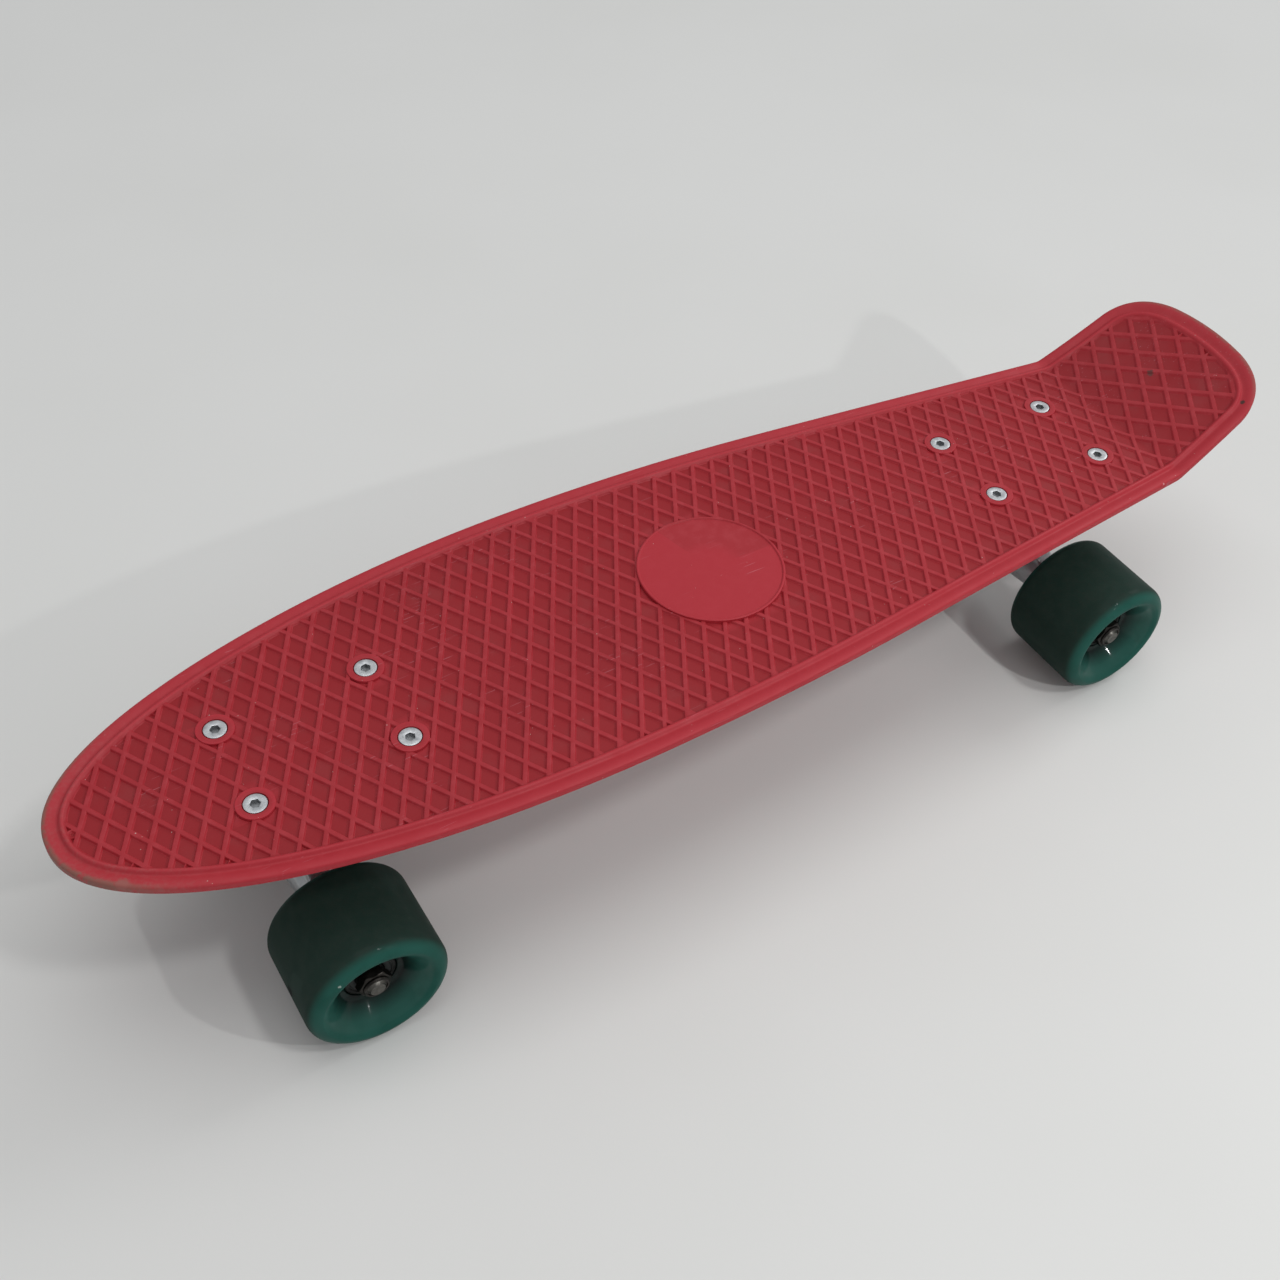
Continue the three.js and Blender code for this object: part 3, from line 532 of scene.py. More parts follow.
def shell(profile, steps=48):
    """A turned shell about Z. Its profile, each [radius, height], starts and ends on the axis, or
    is a ring that closes on itself."""
    made = bmesh.new()
    points = [made.verts.new((radius, 0.0, height)) for radius, height in profile]
    edges = [made.edges.new(pair) for pair in zip(points, points[1:])]
    if profile[0][0] > 0:
        edges.append(made.edges.new((points[-1], points[0])))
    bmesh.ops.spin(
        made, geom=[*points, *edges], axis=(0, 0, 1), cent=(0, 0, 0), angle=math.tau, steps=steps,
        use_merge=True)
    bmesh.ops.remove_doubles(made, verts=made.verts, dist=1e-4)
    bmesh.ops.recalc_face_normals(made, faces=made.faces)
    return made


def both_ways(half):
    """A profile and, from its end, its mirror image in height."""
    return [*half, *((radius, -height) for radius, height in reversed(half))]


def radius_of(place):
    """A place's distance from the Z axis."""
    return math.hypot(place.x, place.y)


def hex_reach(point, across):
    """How far a hexagon's side lies from the axis in the direction of a point."""
    sixth = math.tau / 6
    turn = math.atan2(point.y, point.x) % sixth - sixth / 2
    return across / 2 / math.cos(turn)


def press_hexagon(made, across, low, high, inside=False):
    """Trims a turned shell to a hexagon between two heights, or pushes a socket out to one."""
    for point in made.verts:
        radius = radius_of(point.co)
        if radius < 1e-6 or not low - 1e-4 <= point.co.z <= high + 1e-4:
            continue
        reach = hex_reach(point.co, across)
        if (inside and radius < across) or (not inside and radius > reach):
            point.co.x *= reach / radius
            point.co.y *= reach / radius


def thread(low, high, radius, pitch, depth):
    """Profile points of a thread, from low to high: a flat crest, then a groove."""
    count = max(1, round(abs(high - low) / pitch))
    step = (high - low) / count
    points = []
    for turn in range(count):
        points += [
            (radius, low + step * (turn + 0.05)), (radius, low + step * (turn + 0.35)),
            (radius - depth, low + step * (turn + 0.7)),
        ]
    return points


def pour(parts):
    """Joins several bmeshes into one."""
    whole = bmesh.new()
    for part in parts:
        mesh = mesh_of(part, "part", 1.0)
        whole.from_mesh(mesh)
        bpy.data.meshes.remove(mesh)
    return whole


def mesh_of(made, name, scale=MM):
    """A bmesh's finished mesh, scaled to metres."""
    mesh = bpy.data.meshes.new(name)
    bmesh.ops.scale(made, verts=made.verts, vec=(scale, scale, scale))
    made.to_mesh(mesh)
    made.free()
    return mesh


def moved(made, x, y, z):
    """A bmesh, moved."""
    bmesh.ops.translate(made, verts=made.verts, vec=(x, y, z))
    return made


def moving(x, y, z):
    """The matrix of a move that is given in millimetres."""
    return Matrix.Translation((x * MM, y * MM, z * MM))


def loose(name, made, scale=MM):
    """A bmesh as an object that is a tool, a stage of the work or the floor."""
    piece = bpy.data.objects.new(name, mesh_of(made, name, scale))
    bpy.context.scene.collection.objects.link(piece)
    return piece


def shown(name, mesh, body, finishes, nodes, where=None, smooth=35, bend=None):
    """Shows a mesh, or a copy of it moved by a matrix, as a piece that stands for CAD nodes.

    It rides on a body, or, when bend is given, is left unattached with its place baked into its
    mesh;
    nothing bends it. Bend holds the name of the body it would bend towards and the points where
    that bending would start and end; only whether it is given is used."""
    if where:
        mesh = mesh.copy()
        mesh.name = name
        mesh.transform(where)
    piece = bpy.data.objects.new(name, mesh)
    bpy.context.scene.collection.objects.link(piece)
    for finish in finishes:
        mesh.materials.append(finish_of(finish))
    mesh.shade_smooth()
    mesh.set_sharp_from_angle(angle=math.radians(smooth))
    if bend:
        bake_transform(piece)
    else:
        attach(piece, body)
    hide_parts(*nodes)
    return piece


def settled(piece):
    """Applies a piece's modifiers to its mesh."""
    ready = piece.evaluated_get(bpy.context.evaluated_depsgraph_get())
    mesh = bpy.data.meshes.new_from_object(ready)
    old = piece.data
    piece.modifiers.clear()
    piece.data = mesh
    bpy.data.meshes.remove(old)
    return mesh


def joined_or_cut(piece, tool, operation):
    """Joins a tool to a piece, or cuts the piece with it, and removes the tool."""
    modifier = piece.modifiers.new(operation.lower(), "BOOLEAN")
    modifier.operation = operation
    modifier.solver = "EXACT"
    modifier.object = tool
    settled(piece)
    mesh = tool.data
    bpy.data.objects.remove(tool)
    bpy.data.meshes.remove(mesh)


def triangles(made):
    """A bmesh with flat faces only, which solids need to be joined cleanly."""
    bmesh.ops.triangulate(made, faces=made.faces)
    return made


# Deck

def bend_curve(points, steps):
    """Points of a Bezier curve of any order."""
    made = []
    for step in range(steps + 1):
        level = [Vector(point) for point in points]
        while len(level) > 1:
            level = [a.lerp(b, step / steps) for a, b in zip(level, level[1:])]
        made.append(level[0])
    return made


def half_outline():
    """Deck's edge from the nose tip to the middle of the tail, on the +Y side."""
    points = []
    for step in range(NOSE_STEPS):
        along = math.cos(step / NOSE_STEPS * math.pi / 2)
        across = HALF_WIDTH * (1 - along ** 2) ** (1 / NOSE_POWER)
        points.append(Vector((WIDEST_X - NOSE_REACH * along, across)))
    middle = (WIDEST_X + FLANK_END_X) / 2
    slope = (HALF_WIDTH - WAIST_HALF) / (KICK_X - middle)
    flank_end = (FLANK_END_X, HALF_WIDTH - slope * (FLANK_END_X - middle))
    points += bend_curve([(WIDEST_X, HALF_WIDTH), (middle, HALF_WIDTH), flank_end], FLANK_STEPS)
    corner = [(KICK_X + KICK_LENGTH * along, TAIL_HALF * across) for along, across in CORNER_SHARES]
    tail_end = (KICK_X + KICK_LENGTH, 0.0)
    for curve, steps in (
        ([flank_end, (KICK_X, WAIST_HALF)], STRAIGHT_STEPS),
        ([(KICK_X, WAIST_HALF), corner[0]], SIDE_STEPS),
        (corner, CORNER_STEPS),
        ([corner[-1], (tail_end[0], corner[-1][1] / 2), tail_end], BOW_STEPS),
    ):
        points += bend_curve(curve, steps)[1:]
    return points


def half_width_at(x, outline):
    """Deck's half-width at a place along the board."""
    for before, after in zip(outline, outline[1:]):
        if before.x <= x <= after.x and after.x > before.x:
            return before.y + (after.y - before.y) * (x - before.x) / (after.x - before.x)
    return 0.0


def sheet_height(x):
    """Height of the tread panel over the level of the truck screws."""
    past = x - KICK_X
    if past <= 0:
        return CAMBER * math.cos(math.pi * x / WHEELBASE)
    bent = min(past, KICK_BEND)
    straight = math.tan(KICK_ANGLE) * (bent ** 2 / (2 * KICK_BEND) + past - bent)
    sweep = past ** 2 / (2 * KICK_SWEEP_RADIUS)
    return CAMBER * math.cos(math.pi * KICK_X / WHEELBASE) + straight + sweep


def on_sheet(made):
    """Bends a flat shape to the sheet and lifts it to the deck's height."""
    for point in made.verts:
        point.co.z += sheet_height(point.co.x)
    return moved(made, BOARD_SHIFT, 0, DECK_HEIGHT)


def step_in(made, face, steps, layer, start, up):
    """Insets a face step by step, each [distance from the edge, height, wear]."""
    before, level = 0.0, start
    for distance, height, wear in steps:
        bmesh.ops.inset_region(
            made, faces=[face], thickness=distance - before, depth=(height - level) * up,
            use_even_offset=True, use_boundary=True)
        before, level = distance, height
        for point in face.verts:
            point[layer] = wear


def corners_of(faces):
    """The points of some faces, each once, in the same order each run."""
    return list(dict.fromkeys(point for face in faces for point in face.verts))


def cut_across(made, faces, place, normal=(1, 0, 0)):
    """Cuts faces with a plane."""
    edges = {edge for face in faces for edge in face.edges}
    bmesh.ops.bisect_plane(
        made, geom=[*faces, *edges, *corners_of(faces)], plane_co=place, plane_no=normal, dist=1e-5)


def of_kind(made, kind):
    """The faces that are ribs, cells or small cells."""
    return [face for face in made.faces if face.material_index == kind]


def room_in(face):
    """Radius of the circle that about fits in a face."""
    return 2 * face.calc_area() / face.calc_perimeter()


def rib_normal(hand):
    """Direction across the ribs of one of the two sets."""
    return Vector((CROSS_STEP_Y, -hand * CROSS_STEP_X, 0.0)).normalized()


def between_ribs(place, half):
    """Whether a place on the panel lies clear of the ribs of both sets."""
    for hand in (1, -1):
        normal = rib_normal(hand)
        pitch = 2 * CROSS_STEP_X * normal.x
        past = normal.dot(Vector((place.x - CROSS_X, place.y, 0.0))) % pitch
        if min(past, pitch - past) < half:
            return False
    return True


def blunt_tips(made):
    """Cuts the sharp tips off cells at the border, so that their walls keep an even width."""
    sharp = []
    for face in of_kind(made, CELL):
        corners = [loop for loop in face.loops if loop.is_convex and loop.calc_angle() < SHARP_TIP]
        if corners:
            sharp.append((face, min(corners, key=lambda loop: loop.calc_angle())))
    for face, corner in sharp:
        tip = corner.vert
        length = TIP_WIDTH / 2 / math.tan(corner.calc_angle() / 2)
        ways = [near.vert.co - tip.co for near in (corner.link_loop_next, corner.link_loop_prev)]
        way = (ways[0].normalized() + ways[1].normalized()).normalized()
        cut_across(made, [face], tip.co + way * length, way)
        away = {
            part: part.calc_center_median() - tip.co for part in tip.link_faces
            if part.material_index == CELL}
        ahead = [part for part in away if way.dot(away[part]) > 0]
        if ahead:
            nearest = min(ahead, key=lambda part: abs(away[part].x) + abs(away[part].y))
            nearest.material_index = SMALL_CELL


def cut_ribs(made, half):
    """Cuts the panel along both edges of every rib, and tells its ribs from its cells."""
    reach = int((NOSE_REACH + KICK_X + KICK_LENGTH) / (2 * CROSS_STEP_X)) + SPARE_RIBS
    for hand in (1, -1):
        normal = rib_normal(hand)
        for count in range(-reach, reach):
            crossing = Vector((CROSS_X + 2 * CROSS_STEP_X * count, 0.0, 0.0))
            for edge in (-half, half):
                place = crossing + normal * edge
                faces = []
                for face in of_kind(made, CELL):
                    sides = [normal.dot(point.co - place) for point in face.verts]
                    if min(sides) < 0 < max(sides):
                        faces.append(face)
                if faces:
                    cut_across(made, faces, place, normal)
    for face in of_kind(made, CELL):
        if not between_ribs(face.calc_center_median(), half):
            face.material_index = RIB


def sink_cells(made, share, cell_layer):
    """Sinks the cells in steps, each with a narrower wall where there is less room."""
    for face in of_kind(made, CELL):
        if SMALL_CELL_ROOM < room_in(face) <= CELL_ROOM:
            face.material_index = SMALL_CELL
    thin = SMALL_CELL_ROOM / CELL_ROOM
    for kind, narrowing, room in ((CELL, 1.0, CELL_ROOM), (SMALL_CELL, thin, SMALL_CELL_ROOM)):
        for width, drop in WALL_STEPS:
            cells = [face for face in of_kind(made, kind) if room_in(face) > room]
            walls = bmesh.ops.inset_individual(
                made, faces=cells, thickness=width * narrowing, depth=-drop * share,
                use_even_offset=True)["faces"]
            for wall in walls:
                wall.material_index = RIB
            bmesh.ops.remove_doubles(made, verts=corners_of(cells), dist=WALL_EDGE * narrowing)
            room -= width * narrowing
    for face in made.faces:
        if face.material_index != RIB and face.calc_center_median().z < -share / 2:
            for point in face.verts:
                point[cell_layer] = 1.0
        face.material_index = 0
    bmesh.ops.dissolve_degenerate(made, dist=1e-3, edges=made.edges)


def waffle(made, panel, sizes, cell_layer):
    """Makes the panel's relief: ribs in two sets that cross, with sunk cells between them."""
    panel.material_index = CELL
    cut_ribs(made, sizes.rib_width / MM / 2)
    bmesh.ops.remove_doubles(made, verts=corners_of(of_kind(made, CELL)), dist=LEAST_EDGE)
    for _ in range(2):
        blunt_tips(made)
    share = sizes.relief_depth / MM / sum(drop for _, drop in WALL_STEPS)
    sink_cells(made, share, cell_layer)


def moulded_sheet(sizes, outline):
    """The sheet with its lip, ridge, waffle and skirt."""
    made = bmesh.new()
    edge_layer = made.verts.layers.float.new("edge")
    cell_layer = made.verts.layers.float.new("cell")
    ring = [*outline, *(Vector((point.x, -point.y)) for point in reversed(outline[1:-1]))]
    points = [made.verts.new((point.x, point.y, LIP_LOW_START)) for point in reversed(ring)]
    low = made.faces.new(points)
    grown = bmesh.ops.extrude_face_region(made, geom=[low])["geom"]
    top = next(part for part in grown if isinstance(part, bmesh.types.BMFace))
    bmesh.ops.translate(made, verts=top.verts, vec=(0, 0, LIP_TOP_START - LIP_LOW_START))
    for point in made.verts:
        point[edge_layer] = 1.0
    bmesh.ops.recalc_face_normals(made, faces=made.faces)
    step_in(made, top, TOP_STEPS, edge_layer, LIP_TOP_START, 1)
    step_in(made, low, LOW_STEPS, edge_layer, LIP_LOW_START, -1)
    waffle(made, top, sizes, cell_layer)
    for place in BEND_CUTS:
        cut_across(made, made.faces, (KICK_X + place, 0, 0))
    # The underside is one wide face, so it is cut to follow the camber
    for place in range(int(WIDEST_X - NOSE_REACH), int(KICK_X), LOW_CUT_STEP):
        underside = [face for face in made.faces if face.normal.z < -0.9]
        cut_across(made, underside, (place, 0, 0))
    return made


def bar(length, width, low, high, place, steps=1):
    """A straight bar between two heights, cut into steps along its length."""
    made = bmesh.new()
    bmesh.ops.create_cube(made, size=1.0)
    bmesh.ops.scale(made, verts=made.verts, vec=(length, width, high - low))
    moved(made, *place, (low + high) / 2)
    for step in range(1, steps):
        cut_across(made, made.faces, (place[0] - length / 2 + length * step / steps, 0, 0))
    return made


def underside_ribs(outline):
    """Spines along the board and ribs across it, which end inside the skirt."""
    start = next(point.x for point in outline if point.y > SPINE_Y + SKIRT_MID) + SKIRT_MID
    end = KICK_X + KICK_LENGTH - SKIRT_MID
    middle = (start + end) / 2
    spines = [
        bar(end - start, RIB_WIDE, RIB_LOW, RIB_HIGH, (middle, across), SPINE_STEPS)
        for across in (-SPINE_Y, SPINE_Y)]
    ribs = []
    x = KICK_X + RIB_PITCH / 2
    while x > WIDEST_X - NOSE_REACH + RIB_PITCH / 2:
        width = 2 * (half_width_at(x, outline) - SKIRT_MID)
        # A little higher than the spines, so that no faces coincide where they cross
        ribs.append(bar(RIB_WIDE, width, RIB_LOW + 0.1, RIB_HIGH + 0.1, (x, 0)))
        x -= RIB_PITCH
    return spines, ribs


def screw_places(side):
    """The four deck screws of a truck: name, place along and across."""
    return [
        (f"{row}_{hand}", side * (WHEELBASE / 2 + along * SCREW_LONG / 2), across * SCREW_WIDE / 2)
        for row, along in (("outer", 1), ("inner", -1)) for hand, across in HANDS.items()]


def boss_shell():
    """Round boss with a softened edge, its top at height zero."""
    return shell([(0, -3.0), (7.75, -3.0), (7.7, -0.35), (7.55, -0.1), (7.25, 0.0), (0, 0.0)], 40)


def countersink_shell():
    """What a screw's hole takes out of the deck, down from the boss's top."""
    return shell([
        (0, -16.0), (2.8, -16.0), (2.8, -3.2), (5.0, -1.0), (5.05, -0.12), (5.3, 0.05),
        (5.3, 4.0), (0, 4.0),
    ], 32)


def medallion_shell(radius):
    """Round place with a thin raised edge, its face at height zero."""
    steps = (
        (0, -3.0), (0, 0.35), (0.2, 0.55), (0.45, 0.6), (0.8, 0.6), (1.05, 0.5), (1.3, 0.1),
        (1.6, 0.0), (12, 0.0))
    edge = [(radius - inward, height) for inward, height in steps]
    return shell([(0, -3.0), *edge, (0, 0.0)], 128)


def pad_block():
    """Truck pad under the sheet, with rounded corners, its face at height zero."""
    made = bmesh.new()
    bmesh.ops.create_cube(made, size=1.0)
    bmesh.ops.scale(made, verts=made.verts, vec=PAD_SIZE)
    moved(made, 0, 0, PAD_SIZE[2] / 2)
    rounding = {"affect": "EDGES", "profile": 0.5, "material": -1}
    upright = [edge for edge in made.edges if abs(edge.verts[0].co.z - edge.verts[1].co.z) > 1]
    bmesh.ops.bevel(made, geom=upright, offset=PAD_CORNER, segments=8, **rounding)
    low = [edge for edge in made.edges if max(point.co.z for point in edge.verts) < 0.01]
    bmesh.ops.bevel(made, geom=low, offset=PAD_EDGE, segments=2, **rounding)
    return made


def close_slivers(mesh):
    """Fills the hair-thin gaps that joining solids can leave."""
    made = bmesh.new()
    made.from_mesh(mesh)
    bmesh.ops.holes_fill(made, edges=[edge for edge in made.edges if edge.is_boundary], sides=4)
    bmesh.ops.recalc_face_normals(made, faces=made.faces)
    made.to_mesh(mesh)
    made.free()


class SKATE_OT_deck(bpy.types.Operator):
    """Builds the moulded deck with its waffle tread"""
    bl_idname = "skate.deck"
    bl_label = "Deck"

    def execute(self, context):
        sizes = context.scene.skate_deck
        outline = half_outline()
        sheet = triangles(on_sheet(moulded_sheet(sizes, outline)))
        spines, ribs = (
            [triangles(on_sheet(rib)) for rib in group] for group in underside_ribs(outline))
        level = DECK_HEIGHT + CAMBER + BOSS_RISE
        medallion = medallion_shell(sizes.medallion_radius / MM)
        rises = [moved(medallion, MEDALLION_X + BOARD_SHIFT, 0, level)]
        pads, cuts = [], []
        for side in SIDES.values():
            pad = moved(pad_block(), side * WHEELBASE / 2 + BOARD_SHIFT, 0, PAD_HEIGHT)
            pads.append(triangles(pad))
            for _, x, y in screw_places(side):
                place = (x + BOARD_SHIFT, y, DECK_HEIGHT + sheet_height(x) + BOSS_RISE)
                rises.append(moved(boss_shell(), *place))
                cuts.append(moved(countersink_shell(), *place))
        under = loose("under", pour(spines))
        for name, parts in (("ribs", ribs), ("pads", pads), ("rises", rises)):
            joined_or_cut(under, loose(name, pour(parts)), "UNION")
        mesh = mesh_of(sheet, "deck_moulding")
        piece = shown("deck_moulding", mesh, "deck", ["deck"], ["deck"])
        joined_or_cut(piece, under, "UNION")
        joined_or_cut(piece, loose("cuts", pour(cuts)), "DIFFERENCE")
        close_slivers(piece.data)
        piece.data.shade_smooth()
        piece.data.set_sharp_from_angle(angle=math.radians(DECK_SHARP_ANGLE))
        piece.modifiers.new("weighted", "WEIGHTED_NORMAL").keep_sharp = True
        return {"FINISHED"}


# Screws and nuts of the deck

def deck_screw(length):
    """Countersunk screw with a hex socket, its face at height zero."""
    thread_top = SCREW_THREAD - length
    made = shell([
        (0, -SOCKET_DEPTH), (1.5, -SOCKET_DEPTH), (2.2, 0.3 - SOCKET_DEPTH), (2.2, -0.12),
        (2.32, 0.0), (4.3, 0.0), (SCREW_HEAD - 0.1, -0.08), (SCREW_HEAD, -0.25), (SCREW_HEAD, -0.5),
        (SCREW_RADIUS, -2.6), (SCREW_RADIUS, thread_top),
        *thread(thread_top, 0.4 - length, SCREW_RADIUS, 0.8, 0.35),
        (SCREW_RADIUS - 0.5, -length), (0, -length),
    ], 36)
    press_hexagon(made, SOCKET_ACROSS, -SOCKET_DEPTH - 0.05, -0.1, inside=True)
    for face in made.faces:
        centre = face.calc_center_median()
        if radius_of(centre) < SCREW_RADIUS - 0.1 and -SOCKET_DEPTH - 0.1 < centre.z < -0.1:
            face.material_index = 1
    return made


def hex_body(across, low, high, bore, chamfer=0.5):
    """Hexagon with turned chamfers, round a bore."""
    corner, flat, drop = across / math.sqrt(3), across / 2 - chamfer / 2, chamfer * 1.3
    made = shell([
        (bore, low), (flat, low), (corner, low + drop), (corner, high - drop), (flat, high),
        (bore, high),
    ])
    walls = []
    for edge in made.edges:
        first, second = (point.co for point in edge.verts)
        if abs(first.z - second.z) > 0.1 and radius_of(first) > bore + 0.1:
            walls.append(edge)
    bmesh.ops.subdivide_edges(made, edges=walls, cuts=3)
    press_hexagon(made, across, low - 0.01, high + 0.01)
    return made


def lock_nut(across, height, collar, bore):
    """Nut that stands on height zero, with its collar and nylon ring on top."""
    wall, top = across / 2 - 0.7, height + collar
    ring = shell([
        (bore + 0.6, height - 0.6), (wall, height - 0.6), (wall, height + collar * 0.6),
        (wall - 0.5, top), (wall - 1.2, top), (wall - 1.4, height + collar * 0.7),
        (bore + 0.6, height + collar * 0.5),
    ])
    nylon = shell([
        (bore - 0.1, height - 0.4), (bore + 1.2, height - 0.4),
        (bore + 1.2, height + collar * 0.62), (bore - 0.1, height + collar * 0.5),
    ])
    for face in nylon.faces:
        face.material_index = 1
    return pour([hex_body(across, 0.0, height, bore), ring, nylon])


class SKATE_OT_fasteners(bpy.types.Operator):
    """Builds the eight deck screws and their lock nuts"""
    bl_idname = "skate.fasteners"
    bl_label = "Deck screws and nuts"

    def execute(self, context):
        seat = PAD_HEIGHT - PLATE_THICKNESS - SEAT_GAP
        flip = Matrix.Rotation(math.pi, 4, "X")
        nut = mesh_of(lock_nut(*DECK_NUT), "lock_nut")
        for name, side in SIDES.items():
            for place, x, y in screw_places(side):
                top = DECK_HEIGHT + sheet_height(x) + BOSS_RISE - SCREW_SINK
                # Each screw and nut ends at a turn of its own
                turn = Matrix.Rotation(math.radians(x * 7 + y * 13), 4, "Z")
                title = f"{name}_deck_screw_{place}"
                screw = mesh_of(deck_screw(top - seat + SCREW_PAST_SEAT), title)
                screw.transform(moving(x + BOARD_SHIFT, y, top) @ turn)
                shown(title, screw, "deck", ["screw", "socket"],
                      [f"{name}_screw_{place}"])
                shown(f"{name}_nut_{place}", nut, "deck", ["steel", "nylon"],
                      [f"{name}_lock_nut_{place}"], moving(x + BOARD_SHIFT, y, seat) @ flip @ turn)
        return {"FINISHED"}


# Trucks

def truck_frame(side):
    """Where a truck's own frame lies."""
    turn = Matrix.Rotation(math.pi if side < 0 else 0.0, 4, "Z")
    return moving(side * WHEELBASE / 2 + BOARD_SHIFT, 0, PAD_HEIGHT) @ turn


def aimed(place, direction):
    """Turns what was made about Z to lie along a direction, from a place in the truck's frame."""
    turn = Vector((0, 0, 1)).rotation_difference(direction).to_matrix().to_4x4()
    return moving(*place) @ turn


def cast_copy(node, name, grain_mm, rounds):
    """A CAD solid as a casting: merged, skinned again at a fine grain and eased, so that its
    corners blend."""
    merged = bmesh.new()
    merged.from_mesh(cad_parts[node].data)
    bmesh.ops.remove_doubles(merged, verts=merged.verts, dist=1e-6)
    work = loose(name + "_work", merged, 1.0)
    skin = work.modifiers.new("skin", "REMESH")
    skin.mode = "VOXEL"
    skin.voxel_size = grain_mm * MM
    ease = work.modifiers.new("ease", "SMOOTH")
    ease.factor = 0.5
    ease.iterations = rounds
    mesh = settled(work)
    bpy.data.objects.remove(work)
    mesh.name = name
    return mesh


class SKATE_OT_castings(bpy.types.Operator):
    """Builds the cast baseplates and hangers"""
    bl_idname = "skate.castings"
    bl_label = "Truck castings"

    def execute(self, context):
        for part, (grain_mm, rounds) in CASTINGS.items():
            source = cast_copy(f"rear_{part}", f"{part}_casting", grain_mm, rounds)
            for name, side in SIDES.items():
                where = truck_frame(side) @ truck_frame(1).inverted()
                body = "deck" if part == "baseplate" else f"{name}_hanger"
                shown(f"{name}_{part}_casting", source, body, ["casting"],
                      [f"{name}_{part}"], where, smooth=60)
        return {"FINISHED"}


def kingpin_body():
    """Kingpin along its own axis from the ring's middle: hex head towards the deck, thread at
    the road end."""
    head_top, head_seat = KINGPIN_HEAD
    shaft = shell([
        (0, head_top), (KINGPIN_RADIUS, head_top), (KINGPIN_RADIUS, KINGPIN_THREAD),
        *thread(KINGPIN_THREAD, KINGPIN_END - 0.6, KINGPIN_RADIUS, 1.06, 0.5),
        (KINGPIN_RADIUS - 0.8, KINGPIN_END), (0, KINGPIN_END),
    ], 40)
    head = hex_body(KINGPIN_HEAD_ACROSS, head_top, head_seat, KINGPIN_RADIUS - 0.5, 0.8)
    return pour([shaft, head])


def barrel_bushing_body():
    """Barrel bushing between the ring and the deck side's washer."""
    return shell([
        (BORE, -17.0), (9.8, -17.0), (10.6, -16.7), (11.3, -15.6), (11.6, -13.4), (11.65, -9.8),
        (11.6, -6.0), (11.2, -3.6), (10.4, -2.8), (9.8, -2.7), (BORE, -2.7),
    ], 64)


def cone_bushing_body():
    """Cone bushing between the ring and the nut's washer."""
    return shell([
        (BORE, 2.7), (10.6, 2.7), (11.4, 3.0), (11.6, 3.7), (11.3, 5.0), (10.1, 11.6), (9.6, 12.7),
        (8.9, 13.1), (BORE, 13.1),
    ], 64)


def washer_body(at, radius, way):
    """Pressed cup washer whose lip turns over its bushing; way is -1 towards the deck and 1
    towards the road."""
    made = shell([
        (BORE, 0.0), (radius - 0.6, 0.0), (radius + 0.1, -0.25), (radius + 0.3, -1.0),
        (radius + 0.6, -1.15), (radius + 1.1, -1.0), (radius + 1.3, 0.3), (radius + 0.9, 1.1),
        (radius + 0.2, 1.5), (BORE, 1.5),
    ], 64)
    if way < 0:
        flip = Matrix.Rotation(math.pi, 3, "X")
        bmesh.ops.rotate(made, verts=made.verts, cent=(0, 0, 0), matrix=flip)
    return moved(made, 0, 0, at)


def pivot_cup_body():
    """Cup that holds the hanger's pivot."""
    return shell([
        (0, 6.0), (7.5, 6.0), (8.0, 5.5), (8.0, -4.0), (7.6, -4.5), (5.7, -4.5), (5.35, -4.1),
        (BORE, 0.0), (4.6, 2.65), (2.65, 4.6), (0, 5.3),
    ])


class SKATE_OT_kingpins(bpy.types.Operator):
    """Builds each truck's kingpin, nut, washers, bushings and pivot cup"""
    bl_idname = "skate.kingpins"
    bl_label = "Kingpins and bushings"

    def execute(self, context):
        about_kingpin = aimed(RING, KINGPIN_AXIS)
        about_pivot = aimed(PIVOT, (PIVOT - RING).normalized())
        nut = moved(lock_nut(*KINGPIN_NUT), 0, 0, KINGPIN_NUT_SEAT)
        deck_washer, road_washer = washer_body(-17.3, 11.6, -1), washer_body(13.4, 9.4, 1)
        barrel, cone = barrel_bushing_body(), cone_bushing_body()
        parts = [
            ("kingpin_bolt", kingpin_body(), "steel", ["steel"], "kingpin"),
            ("kingpin_lock_nut", nut, "steel", ["steel", "nylon"], "kingpin_nut"),
            ("barrel_bushing", barrel, "bushing", ["bushing"], "board_bushing"),
            ("cone_bushing", cone, "bushing", ["bushing"], "road_bushing"),
            ("deck_side_washer", deck_washer, "steel", ["steel"], "board_cup_washer"),
            ("road_side_washer", road_washer, "steel", ["steel"], "road_cup_washer"),
            ("pivot_socket", pivot_cup_body(), "pivot_cup", ["cup"], "pivot_cup"),
        ]
        for part, made, slot, finishes, node in parts:
            source = mesh_of(made, part)
            about = about_pivot if part == "pivot_socket" else about_kingpin
            for name, side in SIDES.items():
                where = truck_frame(side) @ about
                # The bushings are squeezed: the points of their ends at the hanger's ring go along
                # as bend, which leaves them unattached
                ends = [where @ Vector((0, 0, height * MM)) for height in SQUEEZED.get(part, ())]
                bend = (f"{name}_hanger", *ends) if ends else None
                shown(f"{name}_{part}", source, "deck", finishes, [f"{name}_{node}"], where,
                      bend=bend)
        return {"FINISHED"}


# Axles, bearings and wheels

def on_axle(side, way, out):
    """Where a thing lies that is turned about the axle, so far out from the board's middle."""
    place = moving(side * (AXLE.x + WHEELBASE / 2) + BOARD_SHIFT, way * out, WHEEL_RADIUS)
    return place @ Matrix.Rotation(-way * math.pi / 2, 4, "X")


